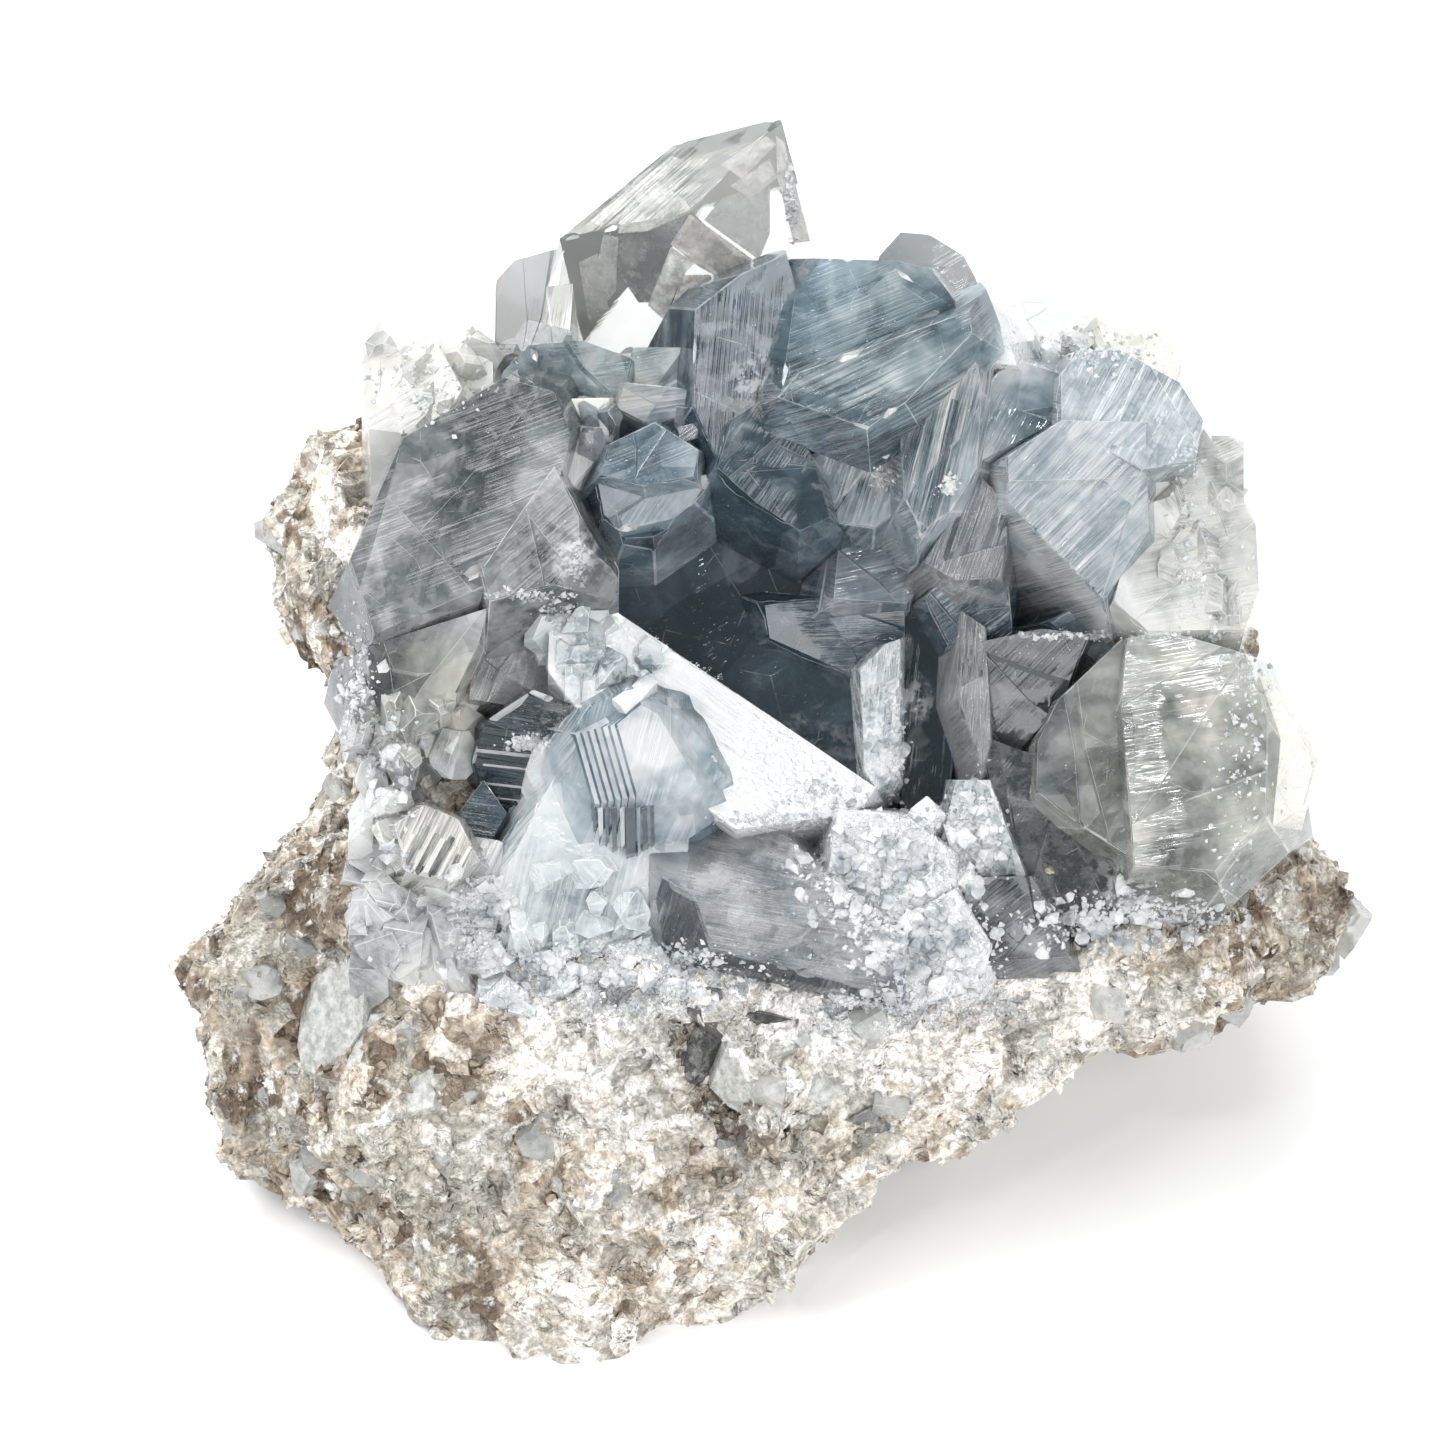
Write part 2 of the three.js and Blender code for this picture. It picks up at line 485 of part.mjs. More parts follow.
// Distance from the outline's centre to the outline, along a direction.
function outlineReach(angle) {
  const [ox, oy] = OUTLINE_CENTRE;
  const dx = Math.cos(angle);
  const dy = Math.sin(angle);
  let reach = 0;
  MATRIX_OUTLINE.forEach(([ax, ay], i) => {
    const [bx, by] = MATRIX_OUTLINE[(i + 1) % MATRIX_OUTLINE.length];
    const ex = bx - ax;
    const ey = by - ay;
    const cross = dx * ey - dy * ex;
    if (Math.abs(cross) < 1e-9) return;
    const along = ((ax - ox) * ey - (ay - oy) * ex) / cross;
    const share = ((ax - ox) * dy - (ay - oy) * dx) / cross;
    if (along > 0 && share >= -1e-6 && share <= 1 + 1e-6) reach = Math.max(reach, along);
  });
  return reach;
}

// A smooth height through scattered [x, y, z] points.
function heightAt(points, x, y) {
  let weights = 0;
  let total = 0;
  for (const [px, py, pz] of points) {
    const weight = 1 / ((x - px) ** 2 + (y - py) ** 2 + 6) ** 1.5;
    weights += weight;
    total += weight * pz;
  }
  return total / weights;
}

// Broken rock: cells of it, each with a slightly tilted face of its own.
function rockCells(count, spread, seed) {
  const random = seeded(seed);
  const signed = () => random() * 2 - 1;
  return Array.from({ length: count }, () => {
    return {
      centre: new THREE.Vector3(signed() * spread, signed() * spread - 8, signed() * spread - 14),
      tilt: new THREE.Vector3(signed(), signed(), signed()),
      rise: signed(),
    };
  });
}
const LARGE_CELLS = rockCells(260, 48, 7);
const SMALL_CELLS = rockCells(2600, 48, 19);

function cellRelief(cells, point, tiltShare, riseMm) {
  let nearest = cells[0];
  let least = Infinity;
  for (const cell of cells) {
    const distance = cell.centre.distanceToSquared(point);
    if (distance < least) {
      least = distance;
      nearest = cell;
    }
  }
  return nearest.tilt.dot(point.clone().sub(nearest.centre)) * tiltShare + nearest.rise * riseMm;
}

function featureRelief(point) {
  return MATRIX_FEATURES.reduce((sum, [x, y, z, radius, height]) => {
    const distance = point.distanceTo(new THREE.Vector3(x, y, z));
    return sum + height * Math.exp(-((distance / radius) ** 2));
  }, 0);
}

// A point of the matrix for a direction from its middle. grow moves the surface outwards.
function matrixPoint(direction, grow) {
  const angle = Math.atan2(direction.y, direction.x);
  const flat = Math.min(1, Math.hypot(direction.x, direction.y));
  const reach = outlineReach(angle) * (0.35 * flat + 0.65 * flat ** 1.6);
  const x = OUTLINE_CENTRE[0] + reach * Math.cos(angle);
  const y = OUTLINE_CENTRE[1] + reach * Math.sin(angle);
  const rim = heightAt(MATRIX_RIM, x, y);
  const front = heightAt(MATRIX_FRONT, x, y);
  const height =
    direction.z >= 0
      ? rim + (front - rim) * Math.sqrt(1 - flat ** 8)
      : rim - MATRIX_BACK_DEPTH * (1 - flat ** 3) ** 0.7;
  const point = new THREE.Vector3(x, y, height);
  const outward = new THREE.Vector3(direction.x, direction.y, direction.z * 1.6).normalize();
  const rough = new THREE.Vector3(outward.x * RIM_RELIEF, outward.y * RIM_RELIEF, outward.z);
  const relief =
    cellRelief(LARGE_CELLS, point, 0.2, 1) +
    cellRelief(SMALL_CELLS, point, 0.3, 0.55) +
    featureRelief(point);
  return point.addScaledVector(rough, relief).addScaledVector(outward, grow);
}

function matrixBody(grow) {
  const ball = new THREE.IcosahedronGeometry(1, MATRIX_SPLITS);
  const position = ball.getAttribute("position");
  for (let i = 0; i < position.count; i += 1) {
    const direction = new THREE.Vector3().fromBufferAttribute(position, i).normalize();
    direction.set(...direction.toArray().map((value) => Number(value.toFixed(5))));
    position.setXYZ(i, ...matrixPoint(direction, grow).toArray());
  }
  let body = toSolid(ball);
  const random = seeded(83);
  for (const [x, y, z, size] of WALL_CHIPS) {
    const turn = [random() * 3, random() * 3, random() * 6];
    body = body.add(smallCrystal({ at: [x, y, z], size, stretch: 1.2, turn, grow }));
  }
  return body;
}

// The flat underside, which is level when the specimen stands.
function standFlat(solid) {
  const lean = FACE_LEAN_DEG * RADIANS;
  return solid.trimByPlane([0, Math.sin(lean), Math.cos(lean)], -FACE_ORIGIN[2]);
}

function crystalMass() {
  const terrace = CRYSTALS.find((crystal) => crystal.name === "terrace");
  const solids = [peakCrystal()];
  for (const crystal of CRYSTALS) {
    const { middle, planes } = crystalPlanes(crystal);
    solids.push(cutByPlanes(middle, planes));
  }
  solids.push(...growthLayers(terrace));
  for (const patch of DRUSES) solids.push(...druse(patch));
  return solids.reduce((whole, solid) => whole.add(solid));
}

function largestPart(solid) {
  const parts = solid.decompose().sort((a, b) => b.volume() - a.volume());
  return parts[0];
}

const MATERIALS = {
  matrix: new THREE.MeshStandardMaterial({ color: 0xcfcbc2, roughness: 0.85, metalness: 0 }),
  celestite: new THREE.MeshStandardMaterial({ color: 0x8fa0ac, roughness: 0.12, metalness: 0 }),
};

function named(name, solid, material) {
  const mesh = new THREE.Mesh(toGeometry(solid), material);
  mesh.name = name;
  return mesh;
}

const matrix = largestPart(standFlat(matrixBody(0)));
const crystals = largestPart(standFlat(crystalMass().subtract(matrixBody(SEAT_GAP))));

const specimen = new THREE.Group();
specimen.rotation.x = FACE_LEAN_DEG * RADIANS;
specimen.position.set(...FACE_ORIGIN);
specimen.add(named("matrix", matrix, MATERIALS.matrix));
specimen.add(named("celestite_crystals", crystals, MATERIALS.celestite));

const part = new THREE.Group();
part.add(specimen);

export default part;
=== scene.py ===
import math

import bmesh
import bpy
import numpy as np
from mathutils import Euler, Matrix, Vector, kdtree
from mathutils.bvhtree import BVHTree


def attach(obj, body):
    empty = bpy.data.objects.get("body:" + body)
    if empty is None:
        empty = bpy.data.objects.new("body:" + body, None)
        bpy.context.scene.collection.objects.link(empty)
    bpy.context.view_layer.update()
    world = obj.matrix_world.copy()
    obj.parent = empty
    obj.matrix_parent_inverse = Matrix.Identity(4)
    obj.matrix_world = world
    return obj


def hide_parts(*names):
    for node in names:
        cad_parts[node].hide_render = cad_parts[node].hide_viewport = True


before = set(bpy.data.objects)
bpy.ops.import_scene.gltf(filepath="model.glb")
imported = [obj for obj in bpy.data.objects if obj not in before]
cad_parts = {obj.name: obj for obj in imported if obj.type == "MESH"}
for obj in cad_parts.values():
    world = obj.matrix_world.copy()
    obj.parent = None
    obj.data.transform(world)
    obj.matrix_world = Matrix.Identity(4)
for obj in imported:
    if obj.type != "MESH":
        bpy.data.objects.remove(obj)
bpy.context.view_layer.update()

# Everything is laid out in the frame of the crystal face, in millimetres: x right, y up the face,
# z out of it. FACE_TO_PART puts it into the part's frame, in metres.
FACE_LEAN = math.radians(40)
FACE_ORIGIN = (0.4, -0.6, 28)
FACE_TO_PART = (
    Matrix.Scale(0.001, 4)
    @ Matrix.Translation(FACE_ORIGIN)
    @ Matrix.Rotation(FACE_LEAN, 4, "X")
)
TO_FACE = np.array(FACE_TO_PART.inverted())

# Rays down onto the face start ABOVE it, and what lies lower than LOWEST_SEEN is out of sight.
ABOVE = 40
LOWEST_SEEN = -8

# Directions in which crystals go down into the cluster, how far one may spread below its front face,
# and the side of the block that each is cut from.
UPRIGHT = (0, -0.18, -1)
FROM_BEHIND = (0.05, -0.75, -0.66)
ROOT_SPREAD = 2.6
BLOCK_SIZE = 70

# The matrix: its middle and its outline.
MATRIX_MIDDLE = (0, -8)
MATRIX_OUTLINE = [
    (43.2, -12), (41, -8), (38.4, -3), (38, 2), (35.6, 8), (34, 15), (29, 22), (21, 25.5), (8, 26),
    (-6, 24), (-18, 23.5), (-28.4, 24.4), (-32.4, 21.8), (-35, 15), (-35.4, 9.4), (-34.2, 6.6),
    (-31.6, 4.6), (-31.6, 0), (-33.6, -5), (-38.4, -11.6), (-42.8, -16), (-41.2, -22.5),
    (-40.6, -31.4), (-33, -35.2), (-24, -43.6), (-12, -44.6), (-2.5, -43.6), (3, -37), (8, -32),
    (15.4, -29.2), (24.6, -23), (34, -21), (40.5, -17.8),
]
# Heights of its front and of its rim: place and height.
MATRIX_FRONT = [
    (0, 6, -1), (-8, 14, -1), (12, 4, 0), (6, 22, 0), (22, 14, 3), (30, 4, 4), (-20, 10, 4),
    (-25, 20, 2), (-33, 14, 3), (-29, -1, 5), (-36, -17, 1), (-27, -12, 6), (-36, -28, 0),
    (-27, -26, 5), (-20, -16, 7), (-10, -17, 6), (4, -20, 6.5), (-14, -32, 5.5), (-1, -33, 4),
    (12, -23, 5.5), (22, -18, 6), (-22, -40, 1.5), (-8, -41, 2), (34, -15, 7), (40, -10, 2),
    (36, 0, 2), (0, 26, -4), (28, 20, -1),
]
MATRIX_RIM = [
    (43, -12, -3), (36, 12, -5), (8, 26, -7), (-30, 25, -5), (-33, 2, -5), (-43, -17, -6),
    (-40, -31, -5), (-20, -44, -1), (-4, -44, -1), (12, -29, -2), (30, -21, -1),
]
# How deep the rock goes behind its rim, and how much of its relief stands out sideways.
MATRIX_BACK_DEPTH = 40
RIM_RELIEF = 0.45
# Its lumps and pits: place, radius and height.
MATRIX_FEATURES = [
    (-31, -5, 2, 4.5, -4.2), (-21, -35, 4, 3.6, -2.6), (-21.5, -29, 6, 3, -1.6),
    (-38, -14, -2, 5, 1.6), (-33, -23, 3, 3, -2.2), (-29, -27, 5, 4, 1.8), (-9, -38, 4, 5, 1.6),
    (2, -27, 6, 4, 1.4), (36, -15, 6, 3.6, -2.4), (31, -19, 5, 4, 1.5), (-34, 10, 1, 4, 1.4),
    (-33, 6.5, -2, 3, -1.8), (10, -8, -28, 9, 2), (-18, 4, -30, 9, -2.2), (22, 2, -22, 8, 2),
    (-6, 20, -22, 8, -2), (-2, 8, 1, 12, -9),
]

# The large crystals: the corners of a front face with the lean of the side that starts at each,
# the height of the face's middle and its rise along x and y.
CRYSTALS = {
    "left_blade": dict(z=12, slope=(0.34, -0.08), depth=19,
        face=[(-29.8, 13, 24), (-28, 7.6, 30), (-20, 11, 8), (-14.4, 19.4, 6), (-13.8, 22, 20),
              (-15, 25, 24), (-18.5, 26.1, 12), (-26, 21.8, 8)]),
    "left_front": dict(z=13.6, slope=(-0.12, 0.12), depth=18,
        face=[(-19.6, 10, 24), (-15, 11.2, 44), (-13, 14.2, 40), (-13.1, 16, 14), (-15, 19.8, 8),
              (-17.6, 16, 6), (-20.2, 12.4, 12)]),
    "left_lower": dict(z=9.6, slope=(0.24, 0.34), depth=14,
        face=[(-28.6, 6.8, 20), (-28.4, 2.6, 24), (-25, 0.4, 20), (-21.4, 2.8, 8), (-20.4, 7, 8),
              (-19, 9.8, 4)]),
    "left_nook": dict(z=7, slope=(-0.24, 0.1), depth=12,
        face=[(-21.3, 3, 10), (-17, 2.2, 6), (-14.9, 3.4, 6), (-16.6, 9, 6), (-18, 9.8, 8),
              (-20.8, 7, 8)]),
    "stripe_prism": dict(z=8.6, slope=(0.2, 0.5), depth=13,
        face=[(-20.3, -3.6, 12), (-18.2, -5.4, 6), (-14, 0.4, 6), (-13.6, 2.6, 8),
              (-16.5, 3.7, 14), (-20.2, 1.3, 14), (-21, -1.5, 12)]),
    "stripe_foot": dict(z=6.6, slope=(0.3, 0.3), depth=10,
        face=[(-21.9, -5, 10), (-21.8, -7, 12), (-20.2, -8.4, 10), (-18.5, -5.2, 6),
              (-20.2, -2.8, 8)]),
    "white_blade": dict(z=9.4, slope=(-0.22, -0.34), depth=15,
        face=[(-17.2, 9.6, 16), (-15.4, 4.8, 10), (-13, 1.8, 6), (-2, -6.4, 8), (7, -5.2, 20),
              (8.2, -3.4, -6), (-12, 10.3, 4)]),
    "terrace": dict(z=11.8, slope=(-0.06, 0.1), depth=16,
        face=[(-13.7, 0.8, 52), (-14.2, -3.5, 50), (-12.5, -5.1, 44), (-5.2, -4.9, 40),
              (-2.8, -2.4, 24), (-3.7, -0.1, 26), (-7.5, 3, 24), (-9.6, 3.9, 22), (-12.4, 2.6, 30)]),
    "pale_flank": dict(z=8.8, slope=(0.36, 0.1), depth=12,
        face=[(-20.2, -9.2, 10), (-14, -10.4, 6), (-8.6, -10, 6), (-9.6, -7, 4), (-13.4, -3.4, 4),
              (-14.2, -0.4, 4), (-15.4, -2, 8)]),
    "pale_foot": dict(z=8.6, slope=(0.02, 0.34), depth=12,
        face=[(-19.6, -11.2, 20), (-18.8, -13.4, 18), (-16, -15.4, 16), (-8, -15.2, 10),
              (-5.4, -13, 8), (-5.4, -5.6, 6), (-9.4, -4, 6), (-15, -2.4, 24)]),
    "front_prism": dict(z=10.8, slope=(0.02, 0.34), depth=15,
        cuts=[((-5, -15.5, 9.4), (-0.16, -0.8, 0.6)), ((-5, -11.6, 11.45), (-0.8, -0.6, 1))],
        face=[(-6.7, -11, 26), (-6.8, -13.6, 18), (-5, -15.3, 8), (10, -18.9, 12), (10, -14, 16),
              (5.4, -10.4, 58)]),
    "cavity_wall": dict(z=3, slope=(0.05, -0.1), depth=12,
        face=[(-13.4, 8, 4), (6.4, -4.4, 4), (10.4, -2, 4), (11.4, 15, 4), (3, 17.4, 4),
              (-3, 19.8, 4), (-12.4, 18, 4)]),
    "cavity_step": dict(z=5.2, slope=(0.1, 0.26), depth=10,
        face=[(0.4, 7.4, 20), (7.6, 4.2, 12), (10.2, 5, 4), (10.3, 9.9, 10), (5, 10.4, 30),
              (0, 9.9, 30)]),
    "cavity_wedge": dict(z=6.4, slope=(-0.12, -0.3), depth=11,
        face=[(5, 10.2, 24), (10.4, 9.9, 10), (12, 12, 6), (10.6, 15.4, 6), (5.4, 14.4, 30)]),
    "crown": dict(z=15.6, slope=(0.02, -0.38), depth=24, cuts=[((7, 21.8, 14), (0, -0.96, 0.28))],
        face=[(1.3, 25.2, 64), (13.8, 29.9, 12), (13.6, 31.4, 12), (12, 33.5, 16), (9.4, 34.3, 12),
              (4, 34.5, 20), (2.2, 31.6, 24)]),
    "crown_left": dict(z=13.2, slope=(0.36, -0.1), depth=22,
        face=[(-4.9, 31, 16), (-5.1, 24, 20), (-3, 19.4, 12), (-0.5, 19.8, 6), (1.5, 25.2, 4),
              (2.5, 31.8, 6), (1.6, 34.9, 16), (-1.6, 33.5, 20)]),
    "crown_drop": dict(z=14, slope=(0.04, 0.36), depth=18,
        face=[(-2.3, 23, 16), (-3.4, 19.5, 14), (-0.5, 17, 10), (2.6, 15, 10), (4.8, 16, 14),
              (3.7, 19.8, 10), (1.2, 25.2, 6)]),
    "crown_right": dict(z=15.2, slope=(-0.28, 0.14), depth=21,
        face=[(9.6, 23.8, 10), (10, 17.4, 12), (11.3, 15, 12), (13.3, 16.4, 22), (15.2, 19.5, 26),
              (15.5, 25, 24), (14.8, 29.8, 8)]),
    "crown_under": dict(z=11.4, slope=(0, 0.34), depth=16,
        face=[(3.3, 20.4, 8), (4.6, 15.8, 10), (8, 15.3, 8), (10.4, 17, 6), (9.9, 22.6, 6),
              (6, 22.4, 6)]),
    "tongue": dict(z=13, slope=(0.02, -0.34), depth=16,
        face=[(-11.7, 19, 8), (-8.6, 18.3, 10), (-5, 18.9, 14), (-4.6, 20.8, 14), (-7.8, 22.9, 12),
              (-11, 21.3, 16)]),
    "tongue_under": dict(z=11, slope=(0, 0.28), depth=15,
        face=[(-12, 18.8, 14), (-11.5, 16.2, 18), (-9.8, 14.7, 14), (-6.8, 14.8, 14),
              (-5, 17.2, 12), (-2.6, 19.2, 6)]),
    "saddle": dict(z=10.2, slope=(-0.2, -0.08), depth=15,
        face=[(-15, 20, 8), (-12.8, 15.4, 12), (-11.4, 16.4, 16), (-11.2, 21, 12),
              (-7.8, 24.8, 14), (-14.6, 24.6, 12)]),
    "nook": dict(z=9.6, slope=(0.1, 0.3), depth=16,
        face=[(-11.4, 21.4, 8), (-8, 22.6, 8), (-4.7, 20.9, 8), (-4.4, 24.8, 8), (-6, 25.4, 14),
              (-10, 25.8, 14)]),
    "shelf_left": dict(z=8, slope=(0.12, 0.24), depth=17, root=FROM_BEHIND,
        face=[(-15.7, 25.1, 10), (-10, 24.6, 8), (-9.4, 27.5, 14), (-13, 28.8, 16),
              (-16.8, 28.7, 18)]),
    "shelf_right": dict(z=8, slope=(-0.14, 0.2), depth=17, root=FROM_BEHIND,
        face=[(-9.2, 25, 8), (-6, 24.6, 8), (-4.6, 28.4, 14), (-9.4, 28.4, 14)]),
    "fan": dict(z=15, slope=(-0.16, 0.14), depth=20,
        face=[(15.4, 19, 14), (17.4, 17, 16), (17.5, 11, 20), (18.6, 8.2, 30), (24.6, 10.2, 22),
              (27.6, 15, 16), (27.3, 22.8, 10), (21.2, 22.9, 12)]),
    "fan_flank": dict(z=12.6, slope=(0.32, 0.1), depth=17,
        face=[(10.5, 11.2, 20), (13.8, 11.4, 16), (16.9, 9.6, 10), (17.5, 17, 6), (15.3, 19.1, 10)]),
    "fan_root": dict(z=9.4, slope=(0.12, 0.3), depth=13,
        face=[(11.6, 10.4, 12), (13.4, 6.9, 10), (18, 7.4, 8), (17.6, 11.4, 8), (13.6, 12.2, 10)]),
    "right_top": dict(z=14, slope=(-0.24, -0.3), depth=20,
        face=[(21.2, 22.6, 14), (27, 19.4, 10), (30.8, 20, 4), (31.5, 23, 2), (29.8, 25.7, 6),
              (25.6, 28, 10), (22.6, 28, 10), (21.2, 26.2, 14)]),
    "right_block": dict(z=13, slope=(-0.04, -0.1), depth=19,
        face=[(15.2, 19.8, 10), (20.9, 22.7, 10), (21.5, 26.3, 16), (18.6, 27.2, 20),
              (16.8, 26.5, 18), (15.2, 25, 10)]),
    "right_cap": dict(z=13, slope=(-0.1, -0.4), depth=18,
        face=[(14.4, 27.4, 12), (18.2, 26.8, 16), (17.6, 28.4, 18), (15.4, 30.6, 20),
              (13.4, 30.4, 12)]),
    "shoulder": dict(z=11, slope=(-0.42, -0.1), depth=17,
        face=[(27.5, 19.9, 8), (25, 10, 12), (27.5, 7.8, 20), (34.6, 7.9, 2), (35.7, 11, 1),
              (35.5, 15.6, 0), (33, 20.6, 0), (31, 23.5, 2)]),
    "low_dark": dict(z=9.4, slope=(0.12, 0.3), depth=13,
        face=[(15.7, 7.2, 10), (15.5, -0.8, 12), (20, -1.2, 8), (21.4, 2.5, 8), (25.8, 7.4, 8),
              (20, 8.1, 10)]),
    "low_middle": dict(z=10.4, slope=(0.12, 0.08), depth=14,
        face=[(19.6, -3.5, 18), (23.2, -6.3, 14), (26.9, -8.6, 8), (27, 0.6, 6), (25.8, 7.4, 10),
              (21.2, 3, 12), (19.7, 0, 14)]),
    "low_big": dict(z=11.6, slope=(-0.14, 0.04), depth=15,
        face=[(25.6, 3, 14), (26.6, -8.9, 22), (32.5, -9.4, 24), (36.1, -5.4, 20), (36.3, 1.5, 14),
              (34.6, 6.3, 10), (29, 7.9, 10), (26, 7.4, 10)]),
    "low_shadow": dict(z=7, slope=(0.08, 0.34), depth=11,
        face=[(15.6, 0.4, 10), (17, -6, 14), (21.4, -13.4, 14), (23.4, -15, 14), (28.6, -10.7, 8),
              (25, -5.6, 6), (19.6, -1, 6)]),
    "right_edge": dict(z=8, slope=(-0.4, -0.1), depth=13,
        face=[(34.8, 5, 6), (35.2, -1, 6), (36.3, -6.4, 8), (39.3, -4.5, 2), (40.1, -1.3, 0),
              (39.4, 0.9, 0), (36.6, 4.5, 2)]),
    "slot_dark": dict(z=5, slope=(0, 0.04), depth=9,
        face=[(10, 9.4, 4), (9.7, 0, 4), (10.2, -6.8, 8), (13, -7.6, 4), (13.9, -1, 4),
              (14.4, 2.6, 4), (13.3, 6, 4), (11.4, 9.6, 8)]),
    "slot_wall": dict(z=8, slope=(-0.22, 0.08), depth=11,
        face=[(7, 5.2, 8), (7.3, -2.2, 10), (8.2, -3.6, 12), (9.8, -2.4, 8), (9.9, 7.4, 10),
              (8.8, 7, 14)]),
    "slot_post": dict(z=9.6, slope=(0.12, 0.02), depth=12,
        face=[(12.6, 6.9, 16), (14, 3, 18), (13.8, -1.3, 16), (15.2, -3.5, 12), (16.4, 0, 6),
              (16, 8.2, 8), (14.2, 9.4, 10)]),
    "frost_wedge": dict(z=8.2, slope=(-0.02, 0.26), depth=11,
        face=[(12.7, -8, 14), (14, -10.2, 12), (18.8, -9.5, 14), (16.2, -2.8, 10), (13.9, -2.8, 10)]),
    "slot_foot": dict(z=8.6, slope=(0.04, 0.2), depth=11,
        face=[(14.4, -12.6, 16), (15.8, -15.9, 16), (22, -15.4, 14), (20.6, -11.8, 12),
              (19.4, -9.7, 12), (14.7, -9.9, 10)]),
    "sugar_upper": dict(z=10, slope=(-0.1, 0.2), depth=13,
        face=[(4.6, -10, 10), (8.8, -14.4, 10), (14, -11.4, 12), (13.7, -8, 14), (10, -5.2, 12),
              (5.4, -4.9, 12)]),
    "sugar_lower": dict(z=8.8, slope=(-0.06, 0.26), depth=12,
        face=[(8.4, -13.6, 12), (9.6, -19.2, 16), (15.4, -17.8, 18), (16.4, -14.6, 14),
              (13.8, -10.6, 8)]),
    "silver_fan": dict(z=9.6, slope=(0.06, -0.3), depth=11,
        face=[(-26.6, -6, 16), (-25.6, -9.2, 18), (-22.6, -10, 14), (-20.4, -8.6, 12),
              (-22, -5.6, 12), (-24.4, -4.6, 16)]),
    "back_small": dict(z=3, slope=(0.1, -0.2), depth=17, root=FROM_BEHIND,
        face=[(8.4, 35.2, 10), (10, 32, 4), (14, 31.6, 4), (15.5, 33.6, 12), (14.6, 35.3, 16),
              (12.2, 36.8, 14), (10, 37, 14)]),
    "back_pale": dict(z=2.4, slope=(-0.1, -0.2), depth=18, root=FROM_BEHIND,
        face=[(15.6, 33.4, 8), (16.6, 28.8, 8), (21, 27.4, 6), (24.4, 30.8, 6), (22.4, 33.6, 6),
              (18.8, 35.1, 6)]),
    "back_corner": dict(z=1, slope=(-0.24, -0.14), depth=17, root=FROM_BEHIND,
        face=[(24.4, 30.2, 10), (25.6, 26.4, 8), (29.6, 25, 2), (30.6, 27.6, 0), (29.4, 30.6, 4),
              (27, 31.2, 6)]),
    "left_pale": dict(z=4.4, slope=(0.16, -0.2), depth=16, root=FROM_BEHIND,
        face=[(-29.2, 27.4, 4), (-28.6, 22.4, 10), (-23.6, 21.8, 8), (-21.7, 25.4, 12),
              (-23.4, 28.5, 6), (-25.2, 30.5, 6), (-27.8, 31, 4)]),
    "left_pale_small": dict(z=2.4, slope=(0, -0.2), depth=15, root=FROM_BEHIND,
        face=[(-24.6, 28.6, 8), (-22.8, 24.6, 8), (-19.6, 25, 8), (-19.6, 29, 12), (-21.4, 30.5, 14)]),
    "peak_side": dict(z=0, slope=(0.3, -0.14), depth=24, root=FROM_BEHIND,
        face=[(-19.5, 33.7, 10), (-19.6, 27, 8), (-16.4, 26, 4), (-14, 30, 4), (-13.6, 36.4, 6),
              (-18.2, 35.1, 14)]),
    # The last two fill the hollows beside the fan.
    "fan_wedge": dict(z=8.4, slope=(0.05, 0.1), depth=10,
        face=[(20.5, 8.6, 20), (24, 5.6, 20), (28.4, 5.8, 20), (29.4, 9, 20), (26, 11.6, 20)]),
    "block_wedge": dict(z=9, slope=(0.1, -0.2), depth=12,
        face=[(14, 17, 16), (18, 18.4, 16), (19.4, 22.4, 16), (15, 23.6, 16)]),
}
# The growth layers of the stepped crystal, with their look and the look of their left sides.
LAYERS = dict(
    count=7, rise=0.26, step=(0.5, 0.12), depth=4,
    left=[(-13.5, 0.5, 30), (-12.1, -4.5, 50)],
    rest=[(-8.4, -4.6, 40), (-6.2, -4.5, 38), (-4.6, -3.1, 30), (-7.6, 2, 30), (-8.8, 2.6, 30)],
)
LAYER_LOOK = ("blue", 0.26, 0.05, 76, 0.3)
LAYER_SIDE = ((-1, 0, 0), 0.45, (0.85, 0, 76, 0.2))
# The outline of the raised strip along the foot of the crown's front face.
CROWN_STRIP = [
    (1.0, 24.4, 30), (7.3, 22.2, 30), (10, 24, 30), (14.8, 29, 30), (14.6, 30.6, 30), (2.5, 26.2, 30),
]
# The tall crystal at the back: its corners, and the three of them that each face goes through.
PEAK = dict(
    ridge=(-5.2, 38.4, 5.5), apex=(1.3, 45.3, 3.5), left=(-14.8, 36.6, 2.3), right=(3.9, 35.6, 2.5),
    top=(-6.4, 43.4, 0.8), left_low=(-17, 28.2, -3), right_low=(2.6, 29, -4),
    behind_left=(-12, 33, -14), behind_top=(-9, 36, -12), behind_apex=(-2, 39, -12),
    behind_right=(3, 32, -12),
)
PEAK_FACES = [
    ("left", "left_low", "ridge"), ("ridge", "right", "apex"), ("left", "ridge", "apex"),
    ("left", "left_low", "behind_left"), ("left", "top", "behind_top"),
    ("top", "apex", "behind_apex"), ("apex", "right", "behind_right"),
    ("right", "right_low", "behind_right"), ("behind_left", "behind_top", "behind_right"),
]
PEAK_MIDDLE = (-6, 34, -4)
PEAK_DEPTH = 24
# The small crystals: the lengths of celestite's axes, and its forms with their distance from the middle.
AXES = (8.36, 5.35, 6.87)
FORMS = [(0, 0, 1, 0.5), (2, 1, 0, 0.62), (0, 1, 1, 0.6), (1, 0, 2, 0.78)]
DRUSE_FLATNESS = 0.7
DRUSE_SPREAD = 1.2
DRUSE_NICKS = 0.3
